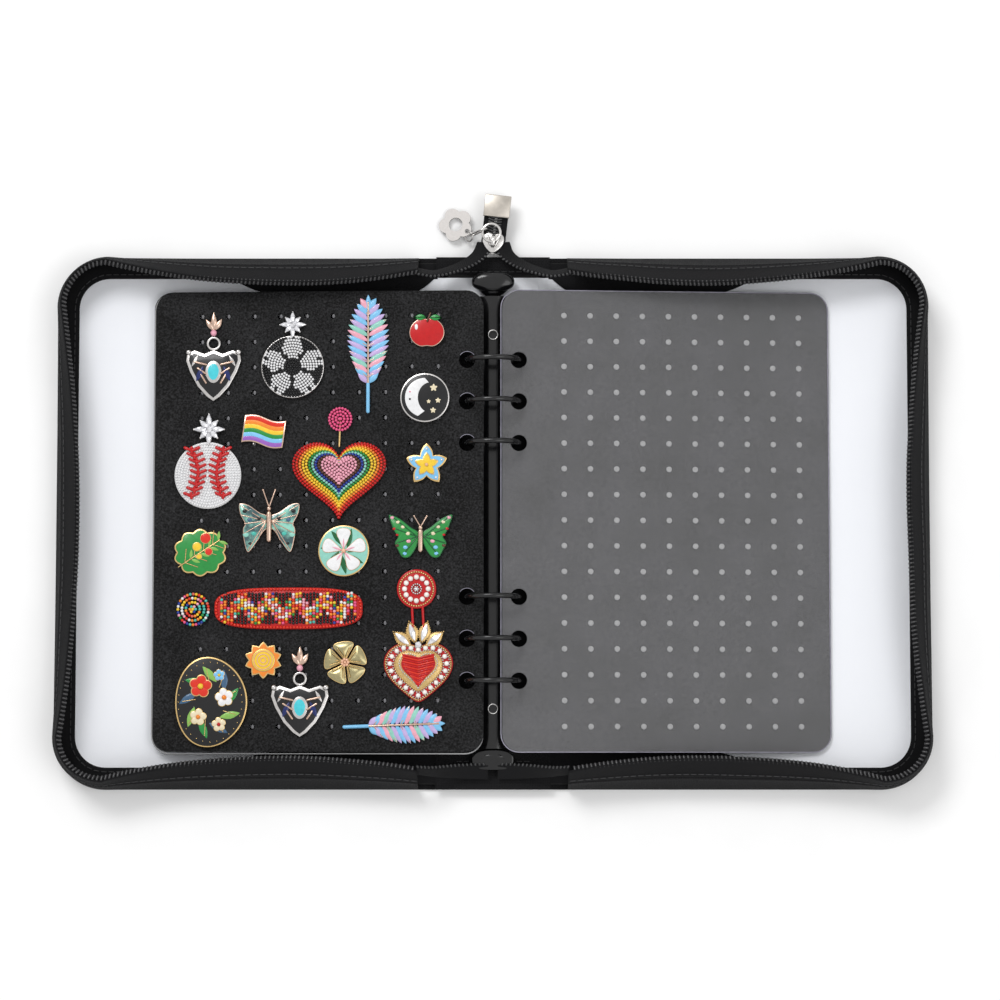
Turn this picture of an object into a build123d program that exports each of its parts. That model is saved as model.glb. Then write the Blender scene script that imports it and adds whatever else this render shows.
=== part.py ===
from build123d import *
import math
import os

# Pin display binder, lying open. Millimetres, +Z up, +Y towards the head of the spine.
# The origin is the middle of the spine's underside, on the surface that the binder lies on.

# Pin pages: standard A5 six-ring pages, which the case is sized round
page_w = 150.0
page_h = 210.0
page_t = 1.0
film_t = 0.3
film_peek = 1.0
page_corner_r = 8.0
page_start = 4.25
page_edge_w = 17.75
page_hole_r = 3.75
left_page_clear = 4.4
right_page_clear = 0.4
dot_columns = 10
dot_rows = 17
dot_side_margin = 21.0
dot_end_margin = 11.4
dot_r = 1.35

# Case
page_fore_clear = 45.75
page_end_clear = 17.0
case_corner_r = 24.0
spine_w = 44.0
fabric_t = 0.8
board_t = 2.0
lining_t = 0.6
board_gap = 3.5
fabric_gap = 0.5
spine_board_inset = 1.0
wall_clear = 0.3
binding_w = 6.6
binding_t = 0.9

# Zip gusset round three sides of each cover
wall_t = 1.2
seam_z = 14.0
rim_z = 21.6
wall_start = 12.0
tape_t = 1.0
coil_w = 1.8
coil_h = 2.0
coil_seat = 0.1
foot_bow = 0.1
seam_corner_inset = 1.5
seam_long_inset = 5.5
seam_fore_inset = 4.2
seam_spine_inset = 3.0
rim_corner_inset = 3.2
rim_long_inset = 13.4
rim_fore_inset = 10.8
rim_spine_inset = 7.7

# Spine ends and the strands of open zipper that cross the folds
end_panel_d = 8.0
end_panel_t = 1.4
strand_t = 1.6
strand_h = 5.0
strand_gap = 0.4
strand_clear = 0.3
head_strand_x = 3.0
foot_strand_x = 11.0

# Zip tail beyond the head of the spine
tail_turn = 6.6
tail_out = 5.8
tail_z = 6.0
tail_below = 4.4
tail_length = 20.6
tail_tape_w = 4.9
tail_tape_t = 1.0
tail_slit = 1.2
tail_coil_w = 2.3
tail_coil_h = 1.8
clamp_l = 9.7
clamp_wall = 0.5
clamp_bite = 8.0

# Slider, pull ring, chain link, jump ring and flower charm
slider_w = 9.8
slider_l = 9.4
slider_plate_t = 1.0
slider_gap = 0.3
slider_post_t = 0.8
slider_post_l = 1.6
bridge_w = 1.4
bridge_l = 5.0
bridge_h = 2.9
bridge_wall = 0.8
bridge_forward = 0.6
pull_ring_r = 4.1
pull_wire_r = 0.6
pull_ring_side = 1.3
link_on_ring = 162.0
link_heading = 195.0
link_drop = 48.0
link_l = 11.6
link_w = 4.8
link_wire_r = 0.5
link_play = 0.7
jump_ring_r = 2.4
jump_wire_r = 0.35
jump_play = 0.2
charm_heading = 148.0
charm_tilt = 9.8
charm_r = 7.9
charm_t = 0.8
charm_hole_r = 3.2
charm_petals = 5
charm_petal_r = 3.6
charm_eye_r = 1.1
charm_eye_edge = 0.45

# Six-ring mechanism
ring_axis_z = 15.6
ring_r = 11.75
wire_r = 1.2
tip_gap = 0.1
ring_pitch = 19.0
ring_group_gap = 70.0
rings_per_group = 3
housing_w = 17.0
housing_short = 1.5
housing_side_h = 2.0
housing_h = 5.0
housing_wall = 0.8
slot_clear = 0.5
slot_inner_x = 4.6
rivet_in = 18.0
rivet_r = 2.5
rivet_hole_r = 1.4
rivet_h = 0.6
carrier_t = 1.0
carrier_side_clear = 0.2
carrier_in = 5.5
carrier_lift = 0.3
carrier_gap = 0.3
lever_w = 19.4
lever_l = 9.0
lever_t = 3.0
lever_z = 7.2
lever_corner_r = 4.0
lever_gap = 0.6
lever_neck_w = 6.0
lever_neck_l = 5.0
lever_neck_t = 1.0
lever_neck_drop = 2.3

# Pins and what holds them behind the page
post_r = 0.6
post_play = 0.8
clutch_r = 4.5
clutch_h = 4.5
clutch_clear = 0.05
plate_t = 1.8
bead_t = 2.6
gem_t = 3.2

# Cuts run past what they cut by this much
overrun = 1.0

panel_t = fabric_t + board_t + lining_t
board_top = fabric_t + board_t
page_reach = page_start + page_w
half_w = page_reach + page_fore_clear
half_d = page_h / 2 + page_end_clear
tail_y = half_d + tail_out
housing_l = page_h - 2 * housing_short
rivet_y = housing_l / 2 - rivet_in
carrier_l = housing_l - 2 * carrier_in
carrier_w = housing_w / 2 - housing_wall - carrier_side_clear - carrier_gap
# Each page leans from the rings down to a clearance over the cover's lining
page_drop = ring_axis_z - panel_t - page_t / 2
left_tilt = math.degrees(math.asin((page_drop - left_page_clear) / page_reach))
right_tilt = math.degrees(math.asin((page_drop - right_page_clear) / page_reach))
dot_column_pitch = (page_w - 2 * dot_side_margin) / (dot_columns - 1)
dot_row_pitch = (page_h - 2 * dot_end_margin) / (dot_rows - 1)
half_spine = spine_w / 2
cover_x = half_spine + fabric_gap
board_x = half_spine + board_gap
wall_x = half_spine + wall_start
up = (Align.CENTER, Align.CENTER, Align.MIN)

os.makedirs("parts", exist_ok=True)


def save(name, *given):
    """Writes one node. Several solids become one group of separate solids."""
    found = [solid for shape in given for solid in shape.solids()]
    whole = found[0] if len(found) == 1 else Compound(children=found)
    export_step(whole, os.path.join("parts", name + ".step"))


def block(x0, x1, y0, y1, z0, z1):
    """A box between two corners."""
    centre = Pos((x0 + x1) / 2, (y0 + y1) / 2, (z0 + z1) / 2)
    return centre * Box(abs(x1 - x0), abs(y1 - y0), abs(z1 - z0))


def on_side(shape, side):
    """A shape made for the right, as it is or mirrored to the left."""
    return shape if side > 0 else mirror(shape, about=Plane.YZ)


def cover_sheet(x0, inset, z0, z1):
    """A flat layer of the right cover with rounded fore-edge corners."""
    sheet = block(x0, half_w - inset, inset - half_d, half_d - inset, z0, z1)
    corners = sheet.edges().filter_by(Axis.Z).group_by(Axis.X)[-1]
    return fillet(corners, case_corner_r - inset)


# The wall's levels: its insets at a corner, at a long side's middle, at the fore edge's middle
# and at its spine end, then its height
foot_level = (0, foot_bow, foot_bow, 0, fabric_t)
seam_level = (seam_corner_inset, seam_long_inset, seam_fore_inset, seam_spine_inset, seam_z)
rim_level = (rim_corner_inset, rim_long_inset, rim_fore_inset, rim_spine_inset, rim_z)


def wall_outline(x0, corner, long_mid, fore_mid, spine_end, z):
    """One level of the wall: three bowed sides, two round corners and a straight close."""
    r = case_corner_r - corner
    x1 = half_w - corner
    y1 = half_d - corner
    y_end = half_d - spine_end
    y_mid = half_d - long_mid
    x_mid = (wall_x + half_w - case_corner_r) / 2
    cut = r * (1 - math.sqrt(0.5))
    return Wire([
        Edge.make_three_point_arc((x0, y_end, z), (x_mid, y_mid, z), (x1 - r, y1, z)),
        Edge.make_three_point_arc((x1 - r, y1, z), (x1 - cut, y1 - cut, z), (x1, y1 - r, z)),
        Edge.make_three_point_arc((x1, y1 - r, z), (half_w - fore_mid, 0, z), (x1, r - y1, z)),
        Edge.make_three_point_arc((x1, r - y1, z), (x1 - cut, cut - y1, z), (x1 - r, -y1, z)),
        Edge.make_three_point_arc((x1 - r, -y1, z), (x_mid, -y_mid, z), (x0, -y_end, z)),
        Edge.make_line((x0, -y_end, z), (x0, y_end, z)),
    ])


def moved_in(level, off):
    """A level with all its insets larger."""
    return tuple(inset + off for inset in level[:-1]) + level[-1:]


def between(low, high, z):
    """The level at a height between two others."""
    share = (z - low[-1]) / (high[-1] - low[-1])
    return tuple(a + (b - a) * share for a, b in zip(low, high))


def wall(low, high, thickness):
    """The wall between two levels, open towards the spine."""
    outer = [wall_outline(wall_x, *level) for level in (low, high)]
    inner = [wall_outline(wall_x, *moved_in(level, thickness)) for level in (low, high)]
    spine_side = block(wall_x - overrun, wall_x, -half_d, half_d, fabric_t, rim_z)
    return Solid.make_loft(outer, ruled=True) - Solid.make_loft(inner, ruled=True) - spine_side


def spine_sheet(inset, z0, z1):
    """A flat layer of the spine panel."""
    return block(inset - half_spine, half_spine - inset, -half_d, half_d, z0, z1)


def end_panel(side):
    """The turned-in fabric at the head or foot of the spine, clear of the folded covers."""
    x = half_spine - board_top - binding_t - wall_clear
    return block(-x, x, side * half_d, side * (half_d - end_panel_d), panel_t,
                 panel_t + end_panel_t)


def strand(points):
    """A strand of open zipper: upright rectangles, lofted from point to point."""
    faces = []
    for point in points:
        faces.append(Plane(origin=point, x_dir=(0, 1, 0), z_dir=(1, 0, 0)) *
                     Rectangle(strand_t, strand_h))
    return loft(faces, ruled=True)


def route(start, end, shares):
    """Points part of the way from start to end, with one share for each axis."""
    return [tuple(a + (b - a) * s for a, b, s in zip(start, end, point)) for point in shares]


strand_start_x = wall_x - strand_gap
strand_start_y = half_d - rim_spine_inset - tape_t
strand_start_z = rim_z - strand_h / 2
head_route_shares = ((0, 0, 0), (0.35, 0.2, 0.4), (0.7, 0.6, 0.8), (1, 1, 1))
foot_route_shares = ((0, 0, 0), (0.45, 0.1, 0.6), (1, 0.2, 1))
tail_half = tail_slit / 2 + tail_tape_w
tail_drop = tail_below + tail_half * math.tan(math.radians(tail_turn))
head_strand_end = (head_strand_x, tail_y - tail_drop - strand_t / 2 - strand_clear,
                   tail_z + strand_h / 2)
foot_strand_end = (foot_strand_x, end_panel_d - half_d,
                   panel_t + end_panel_t + strand_gap + strand_h / 2)

save("spine_fabric", spine_sheet(0, 0, fabric_t))
save("spine_board", spine_sheet(spine_board_inset, fabric_t, board_top))
save("spine_lining", spine_sheet(spine_board_inset, board_top, panel_t))
save("spine_end_panels", end_panel(1), end_panel(-1))

board_level = between(foot_level, seam_level, board_top)
board_inset = wall_t + max(board_level[:-1]) + wall_clear
binding_level = between(foot_level, seam_level, board_top + binding_t)
binding_inset = wall_t + max(binding_level[:-1]) + wall_clear
lining_inset = binding_inset + binding_w
coil_low = moved_in(between(seam_level, rim_level, rim_z - coil_h), tape_t + coil_seat)
coil_high = moved_in(rim_level, tape_t + coil_seat)
head_strand = strand(route((strand_start_x, strand_start_y, strand_start_z), head_strand_end,
                           head_route_shares))
foot_strand = strand(route((strand_start_x, -strand_start_y, strand_start_z), foot_strand_end,
                           foot_route_shares))
binding = cover_sheet(board_x, binding_inset, board_top, board_top + binding_t)
binding -= cover_sheet(board_x, lining_inset, board_top, board_top + binding_t)
cover_pieces = {
    "cover_fabric": cover_sheet(cover_x, 0, 0, fabric_t),
    "cover_board": cover_sheet(board_x, board_inset, fabric_t, board_top),
    "cover_lining": cover_sheet(board_x, lining_inset, board_top, panel_t),
    "inner_binding": binding,
    "gusset": wall(foot_level, seam_level, wall_t),
    "zip_tape": wall(seam_level, rim_level, tape_t),
    "zip_teeth": wall(coil_low, coil_high, coil_w),
    "head_strand": head_strand,
    "foot_strand": foot_strand,
}
for side, word in ((1, "right_"), (-1, "left_")):
    for name, piece in cover_pieces.items():
        save(word + name, on_side(piece, side))


# Zip tail and its clamp
tail = Pos(0, tail_y, tail_z) * Rot(0, 0, -tail_turn)
tail_top = tail_tape_t + tail_coil_h
tapes = []
teeth = []
for side in (1, -1):
    x0 = side * tail_slit / 2
    tapes.append(tail * block(x0, x0 + side * tail_tape_w, -tail_below, tail_length,
                              0, tail_tape_t))
    teeth.append(tail * block(x0, x0 + side * tail_coil_w, -tail_below, tail_length,
                              tail_tape_t, tail_top))
save("tail_tapes", *tapes)
save("tail_teeth", *teeth)

clamp_y = tail_length - clamp_bite
clamp_half = tail_half + clamp_wall
clamp = block(-clamp_half, clamp_half, clamp_y, clamp_y + clamp_l, -clamp_wall,
              tail_top + clamp_wall)
clamp -= block(-tail_half, tail_half, clamp_y - overrun, tail_length, 0, tail_top)
save("zip_end_clamp", tail * clamp)

# Slider: a shield-shaped plate above and below the zip, joined by a post between the strands
plate_shares = ((-0.5, 0.26), (-0.36, 0.46), (-0.14, 0.5), (0, 0.42), (0.14, 0.5), (0.36, 0.46),
                (0.5, 0.26), (0.46, -0.08), (0.2, -0.42), (0, -0.5), (-0.2, -0.42), (-0.46, -0.08))
plate_points = [(a * slider_w, b * slider_l) for a, b in plate_shares]
plate = extrude(make_face(Polyline(plate_points, close=True)), slider_plate_t)
plate_low = -slider_gap - slider_plate_t
plate_high = tail_top + slider_gap
slider_top = plate_high + slider_plate_t
post_y = slider_post_l / 4 - slider_l / 2
slider = Pos(0, 0, plate_low) * plate + Pos(0, 0, plate_high) * plate
slider += block(-slider_post_t / 2, slider_post_t / 2, post_y, post_y + slider_post_l,
                plate_low + slider_plate_t / 2, slider_top - slider_plate_t / 2)
save("slider_body", tail * slider)

bridge_y0 = bridge_forward - bridge_l / 2
bridge_y1 = bridge_forward + bridge_l / 2
bridge = block(-bridge_w / 2, bridge_w / 2, bridge_y0, bridge_y1, slider_top,
               slider_top + bridge_h)
bridge -= block(-bridge_w, bridge_w, bridge_y0 + bridge_wall, bridge_y1 - bridge_wall,
                slider_top, slider_top + bridge_h - bridge_wall)
save("slider_bridge", tail * bridge)

ring_z = slider_top + slider_gap + pull_wire_r
pull_centre = Vector(-pull_ring_side,
                     bridge_forward + math.sqrt(pull_ring_r**2 - pull_ring_side**2), ring_z)
save("pull_ring", tail * Pos(*pull_centre) * Torus(pull_ring_r, pull_wire_r))

# Chain link: it hangs in an upright plane from the pull ring and ends in the jump ring
ring_mid = (tail * Pos(*pull_centre)).position
turn = math.radians(link_on_ring)
hook = ring_mid + Vector(math.cos(turn), math.sin(turn), 0) * pull_ring_r
heading = math.radians(link_heading)
drop = math.radians(link_drop)
along = Vector(math.cos(heading) * math.cos(drop), math.sin(heading) * math.cos(drop),
               -math.sin(drop))
across = Vector(math.sin(heading), -math.cos(heading), 0)
link_half = link_l / 2 - 2 * link_wire_r
link_centre = hook + along * (link_half - pull_wire_r - link_play)
link_run = link_l - link_w
link_path = SlotCenterToCenter(link_run, link_w - 2 * link_wire_r).wire()
link_section = Plane(origin=link_path @ 0, z_dir=link_path % 0) * Circle(link_wire_r)
link = sweep(link_section, path=link_path)
link_plane = Plane(origin=link_centre, x_dir=along, z_dir=across)
save("chain_link", link_plane.location * link)

jump_hook = link_centre + along * (link_half - jump_wire_r - jump_play)
jump_centre = jump_hook + along * jump_ring_r
jump_plane = Plane(origin=jump_centre, x_dir=along, z_dir=across.cross(along))
save("jump_ring", jump_plane.location * Torus(jump_ring_r, jump_wire_r))

# Flower charm: five round petals and a round middle hole. It leans from the jump ring to the floor
eye_place = jump_centre + across * jump_ring_r
petal_centre_r = charm_r - charm_petal_r
eye_r = charm_r - charm_eye_edge - charm_eye_r
charm = Cylinder(petal_centre_r, charm_t)
for place in PolarLocations(petal_centre_r, charm_petals):
    charm += place * Cylinder(charm_petal_r, charm_t)
charm -= Cylinder(charm_hole_r, charm_t + overrun)
charm -= Pos(eye_r, 0, 0) * Cylinder(charm_eye_r, charm_t + overrun)
charm_turned = math.radians(charm_heading)
charm_away = Vector(-math.cos(charm_turned), -math.sin(charm_turned), 0)
charm_rise = math.radians(charm_tilt)
charm_x_dir = charm_away * math.cos(charm_rise) + Vector(0, 0, math.sin(charm_rise))
charm_y_dir = Vector(0, 0, 1).cross(charm_away)
charm_plane = Plane(origin=eye_place - charm_x_dir * eye_r, x_dir=charm_x_dir,
                    z_dir=charm_x_dir.cross(charm_y_dir))
save("flower_charm", charm_plane.location * charm)

# Six-ring mechanism
housing_z = panel_t
housing_top = housing_z + housing_h
carrier_z = housing_z + carrier_lift
carrier_top = carrier_z + carrier_t
group_places = [ring_group_gap / 2 + ring_pitch * n for n in range(rings_per_group)]
ring_places = [-y for y in group_places] + group_places


def arch(inset):
    """The housing's section, or its hollow when it is inset."""
    x = housing_w / 2 - inset
    z = housing_z + housing_side_h - inset / 2
    outline = Wire([
        Edge.make_line((-x, 0, housing_z), (-x, 0, z)),
        Edge.make_three_point_arc((-x, 0, z), (0, 0, housing_top - inset), (x, 0, z)),
        Edge.make_line((x, 0, z), (x, 0, housing_z)),
        Edge.make_line((x, 0, housing_z), (-x, 0, housing_z)),
    ])
    return extrude(make_face(outline), housing_l / 2, dir=(0, 1, 0), both=True)


housing = arch(0) - arch(housing_wall)
slot_half = wire_r + slot_clear
for y in ring_places:
    for side in (1, -1):
        housing -= block(side * slot_inner_x, side * housing_w, y - slot_half, y + slot_half,
                         housing_z, housing_top + overrun)
rivets = []
for side in (1, -1):
    place = Pos(0, side * rivet_y, housing_top - housing_wall)
    housing -= place * Cylinder(rivet_hole_r, housing_h, align=up)
    rivet = Cylinder(rivet_r, rivet_h, align=up) - Cylinder(rivet_hole_r, rivet_h, align=up)
    rivets.append(place * Pos(0, 0, housing_wall) * rivet)
save("ring_housing", housing)
save("rivets", *rivets)

whole_ring = Pos(0, 0, ring_axis_z) * Rot(90, 0, 0) * Torus(ring_r, wire_r)
half_ring = whole_ring & block(tip_gap / 2, ring_r + 2 * wire_r, -2 * wire_r, 2 * wire_r,
                               carrier_top, ring_axis_z + ring_r + 2 * wire_r)
carrier = block(carrier_gap, carrier_gap + carrier_w, -carrier_l / 2, carrier_l / 2,
                carrier_z, carrier_top)
for side, word in ((1, "right_"), (-1, "left_")):
    save(word + "carrier", on_side(carrier, side))
    save(word + "half_rings", *[Pos(0, y, 0) * on_side(half_ring, side) for y in ring_places])


def lever(side):
    """A thumb tab at one end of the housing, with a neck that reaches in under the arch."""
    y0 = housing_l / 2 + lever_gap
    tab = block(-lever_w / 2, lever_w / 2, y0, y0 + lever_l, lever_z, lever_z + lever_t)
    tab = fillet(tab.edges().filter_by(Axis.Z), lever_corner_r)
    tab = fillet(tab.edges().group_by(Axis.Z)[-1], lever_t / 2)
    neck_top = lever_z - lever_neck_drop + lever_neck_t
    neck = block(-lever_neck_w / 2, lever_neck_w / 2, y0 - lever_neck_l, y0 + lever_l / 2,
                 neck_top - lever_neck_t, neck_top)
    web = block(-lever_neck_w / 2, lever_neck_w / 2, y0, y0 + lever_l / 2,
                neck_top - lever_neck_t, lever_z + lever_t / 2)
    whole = tab + web + neck
    return whole if side > 0 else mirror(whole, about=Plane.XZ)


save("top_lever", lever(1))
save("bottom_lever", lever(-1))


# Pin pages. A page's own frame has X outward from the rings' axis, Y towards the head and Z up
dot_first = page_start + dot_side_margin
dot_low = dot_end_margin - page_h / 2
dot_us = [dot_first + dot_column_pitch * n for n in range(dot_columns)]
dot_vs = [dot_low + dot_row_pitch * n for n in range(dot_rows)]


def sheet(start, thickness, z0):
    """A page or film with rounded corners, ring holes and the grid of pin holes."""
    face = Pos(start + page_w / 2, 0) * RectangleRounded(page_w, page_h, page_corner_r)
    face -= [Pos(ring_r, y) * Circle(page_hole_r) for y in ring_places]
    face -= [Pos(u, v) * Circle(dot_r) for u in dot_us for v in dot_vs]
    return extrude(Pos(0, 0, z0) * face, thickness)


def on_page(shape, side, tilt):
    """Lays a shape of the page's frame on the right page, or mirrored on the left one."""
    return on_side(Pos(0, 0, ring_axis_z) * Rot(0, tilt, 0) * shape, side)


page_low = -page_t / 2
page_top = page_t / 2
page = sheet(page_start, page_t, page_low)
edge_x = page_start + page_edge_w
edge_lengths = [block(0, edge_x, 0, end, page_low, page_top) for end in (page_h, -page_h)]
for side, word, tilt in ((1, "right_", right_tilt), (-1, "left_", left_tilt)):
    save(word + "page_edge", *[on_page(page & length, side, tilt) for length in edge_lengths])
    save(word + "pin_page", on_page(page - edge_lengths, side, tilt))
save("right_frosted_film", on_page(sheet(page_start - film_peek, film_t, page_top), 1, right_tilt))
save("left_clear_film", on_page(sheet(page_start + film_peek, film_t, page_low - film_t), -1,
                                left_tilt))


# Pins. Places and sizes are shares of the page's width and height, from the ring edge and the
# page's middle
pin_shares = {
    "upper_drop": (0.823, 0.36, 0.173, 0.2),
    "lower_drop": (0.554, -0.369, 0.179, 0.2),
    "football": (0.581, 0.334, 0.191, 0.139),
    "football_gem": (0.581, 0.426, 0.072, 0.056),
    "baseball": (0.838, 0.098, 0.203, 0.148),
    "baseball_gem": (0.835, 0.198, 0.084, 0.061),
    "tall_feather": (0.351, 0.36, 0.11, 0.26),
    "wide_feather": (0.271, -0.443, 0.31, 0.07),
    "apple": (0.172, 0.412, 0.107, 0.076),
    "moon": (0.178, 0.265, 0.15, 0.107),
    "flag": (0.668, 0.193, 0.125, 0.07),
    "rainbow_heart": (0.438, 0.104, 0.286, 0.187),
    "heart_bead": (0.435, 0.219, 0.075, 0.054),
    "star": (0.172, 0.119, 0.13, 0.093),
    "shell_butterfly": (0.65, -0.002, 0.185, 0.135),
    "green_butterfly": (0.19, -0.037, 0.191, 0.096),
    "white_flower": (0.423, -0.067, 0.155, 0.111),
    "gold_flower": (0.417, -0.308, 0.125, 0.089),
    "leaf": (0.859, -0.07, 0.164, 0.104),
    "bead_bar": (0.59, -0.191, 0.45, 0.1),
    "bar_bead": (0.879, -0.193, 0.101, 0.074),
    "jewel_heart": (0.196, -0.3, 0.209, 0.175),
    "jewel_bead": (0.202, -0.15, 0.119, 0.087),
    "garden_disc": (0.825, -0.393, 0.225, 0.2),
    "sun": (0.665, -0.303, 0.115, 0.08),
}
joint_share = 0.03
flag_lean = -8.0
turn_steps = 60


def size_of(key):
    """A pin's place on the page, its width and its height."""
    u, v, w, h = pin_shares[key]
    return page_start + u * page_w, v * page_h, w * page_w, h * page_h


def closed(points):
    """A face inside a ring of points."""
    return make_face(Polyline(points, close=True))


def round_outline(w, h, radius_at):
    """A face whose radius follows a formula of the angle, scaled to a width and height."""
    angles = [2 * math.pi * n / turn_steps for n in range(turn_steps)]
    return closed([(w / 2 * radius_at(a) * math.cos(a), h / 2 * radius_at(a) * math.sin(a))
                   for a in angles])


def heart(w, h):
    """A heart, from the usual formula."""
    angles = [2 * math.pi * n / turn_steps for n in range(turn_steps)]
    wide = [math.sin(a) ** 3 for a in angles]
    tall = [(13 * math.cos(a) - 5 * math.cos(2 * a) - 2 * math.cos(3 * a) - math.cos(4 * a)) / 16
            for a in angles]
    return closed([(w / 2 * x, h / 2 * y) for x, y in zip(wide, tall)])


def blossom(w, h, petals=5, depth=0.25):
    """A flower with round petals, the first one pointing up."""
    return round_outline(w, h, lambda a: 1 - depth + depth * abs(
        math.cos(petals * (a - math.pi / 2) / 2)))


def scalloped(w, h):
    """A leaf or jewel with a finely scalloped edge."""
    return blossom(w, h, petals=10, depth=0.12)


def star(w, h, points=5, depth=0.5):
    """A pointed star, the first point up."""
    def radius_at(a):
        turn_share = ((a - math.pi / 2) * points / (2 * math.pi)) % 1
        return 1 - depth * (1 - abs(1 - 2 * turn_share))
    return round_outline(w, h, radius_at)


def sunburst(w, h):
    """A sun with short rays."""
    return star(w, h, points=10, depth=0.22)


def apple(w, h):
    """An apple's body, dented at the stalk and at the foot."""
    return round_outline(w, h, lambda a: 1 - 0.2 * abs(math.sin(a)) ** 12)


def feather(w, h):
    """A slim blade, pointed at both ends of its longer side."""
    long_axis = 0 if w > h else math.pi / 2
    return round_outline(w, h, lambda a: 1 - 0.3 * abs(math.sin(2 * (a - long_axis))))


def flag(w, h):
    return Rot(0, 0, flag_lean) * Rectangle(w, h)


wing_shares = ((0, 0.12), (0.3, 0.42), (0.5, 0.5), (0.46, 0.12), (0.2, -0.02), (0.38, -0.22),
               (0.3, -0.48), (0.12, -0.36), (0, -0.2))
drop_shares = ((0, 0.5), (0.2, 0.34), (0.06, 0.2), (0.06, 0.06), (0.3, 0.02), (0.5, -0.08),
               (0.3, -0.34), (0, -0.5))


def both_halves(shares, w, h):
    """A face that is the same on both sides of its middle line."""
    half = [(x * w, y * h) for x, y in shares]
    return closed(half + [(-x, y) for x, y in reversed(half) if x > 0])


def layer(key, face_of, thickness):
    """One layer of a pin on the page's front."""
    u, v, w, h = size_of(key)
    return Pos(u, v, page_top) * extrude(face_of(w, h), thickness)


def nearest(value, places):
    return min(places, key=lambda place: abs(place - value))


def joined(low, high):
    """The short link between a pin's hanging part and its stud."""
    u0, v0, _, _ = size_of(low)
    u1, v1, _, _ = size_of(high)
    link = joint_share * page_w
    return block(min(u0, u1) - link / 2, max(u0, u1) + link / 2, min(v0, v1), max(v0, v1),
                 page_top, page_top + plate_t / 2)


clutch_top = page_low - film_t
clutches = []


def pin(key, *layers):
    """Fuses a pin's layers with its post, in the pin hole nearest its middle, and adds a clutch."""
    u, v, _, _ = size_of(key)
    hole = Pos(nearest(u, dot_us), nearest(v, dot_vs))
    post_end = clutch_top - clutch_h + post_play
    whole = hole * Pos(0, 0, post_end) * Cylinder(post_r, page_top - post_end + plate_t / 2,
                                                  align=up)
    for one in layers:
        whole += one
    clutch = Cylinder(clutch_r, clutch_h, align=up)
    clutch -= Cylinder(post_r + clutch_clear, clutch_h, align=up)
    clutches.append(on_page(hole * Pos(0, 0, clutch_top - clutch_h) * clutch, -1, left_tilt))
    return on_page(whole, -1, left_tilt)


def ellipse(w, h):
    return Ellipse(w / 2, h / 2)


def oblong(w, h):
    return RectangleRounded(w, h, min(w, h) / 6)


def drop(w, h):
    return both_halves(drop_shares, w, h)


def butterfly(w, h):
    return both_halves(wing_shares, w, h)


def with_stud(key, stud, face_of, thickness, stud_face_of, stud_t):
    """A pin whose main part hangs from a smaller stud."""
    return pin(key, layer(key, face_of, thickness), layer(stud, stud_face_of, stud_t),
               joined(key, stud))


def plain_pin(key, face_of, thickness=plate_t):
    """A pin of one layer."""
    return pin(key, layer(key, face_of, thickness))


save("drop_pins", plain_pin("upper_drop", drop), plain_pin("lower_drop", drop))
save("ball_pins", with_stud("football", "football_gem", ellipse, bead_t, star, gem_t),
     with_stud("baseball", "baseball_gem", ellipse, bead_t, star, gem_t))
save("feather_pins", plain_pin("tall_feather", feather), plain_pin("wide_feather", feather))
save("apple_pin", plain_pin("apple", apple))
save("flag_pin", plain_pin("flag", flag))
save("rainbow_heart_pin", with_stud("rainbow_heart", "heart_bead", heart, bead_t, ellipse, bead_t))
save("butterfly_pins", plain_pin("shell_butterfly", butterfly),
     plain_pin("green_butterfly", butterfly))
save("flower_pins", plain_pin("white_flower", ellipse), plain_pin("gold_flower", blossom))
save("leaf_pin", plain_pin("leaf", scalloped))
save("bead_bar_pin", with_stud("bead_bar", "bar_bead", oblong, bead_t, ellipse, bead_t))
save("jewel_heart_pin", with_stud("jewel_heart", "jewel_bead", scalloped, bead_t, ellipse, bead_t))
save("garden_disc_pin", plain_pin("garden_disc", ellipse, bead_t))
save("sky_pins", plain_pin("moon", ellipse), plain_pin("star", star), plain_pin("sun", sunburst))
save("pin_clutches", *clutches)
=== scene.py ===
import random
from math import asin, atan, atan2, copysign, cos, dist, hypot, pi, radians, sin, sqrt

import bmesh
import bpy
import numpy as np
from mathutils import Matrix, Vector, noise


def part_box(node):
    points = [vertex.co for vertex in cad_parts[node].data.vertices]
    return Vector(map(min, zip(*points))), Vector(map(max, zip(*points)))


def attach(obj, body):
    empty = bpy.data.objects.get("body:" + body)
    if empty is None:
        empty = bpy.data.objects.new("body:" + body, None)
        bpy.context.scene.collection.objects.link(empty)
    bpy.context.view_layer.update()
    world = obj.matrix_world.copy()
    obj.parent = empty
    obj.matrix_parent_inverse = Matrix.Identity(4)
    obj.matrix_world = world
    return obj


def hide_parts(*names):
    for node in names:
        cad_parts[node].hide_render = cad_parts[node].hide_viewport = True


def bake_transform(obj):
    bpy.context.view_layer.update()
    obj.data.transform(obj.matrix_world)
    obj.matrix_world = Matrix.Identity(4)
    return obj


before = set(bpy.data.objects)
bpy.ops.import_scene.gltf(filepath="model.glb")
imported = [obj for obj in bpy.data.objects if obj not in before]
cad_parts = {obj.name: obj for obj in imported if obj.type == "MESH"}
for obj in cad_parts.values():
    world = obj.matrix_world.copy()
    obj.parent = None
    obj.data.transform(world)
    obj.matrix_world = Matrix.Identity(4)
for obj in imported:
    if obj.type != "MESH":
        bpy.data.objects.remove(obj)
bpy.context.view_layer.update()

mm = 0.001
random.seed(7)


# Points and meshes
def vec(x, y, z=0.0):
    return Vector((x, y, z))


def move(x, y, z):
    return Matrix.Translation((x, y, z))


def in_mm(*points):
    """Points in metres, from points in millimetres."""
    return [tuple(value * mm for value in point) for point in points]


def angles(count, start=0.0):
    """Even turns round a circle."""
    return [start + 2 * pi * k / count for k in range(count)]


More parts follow.
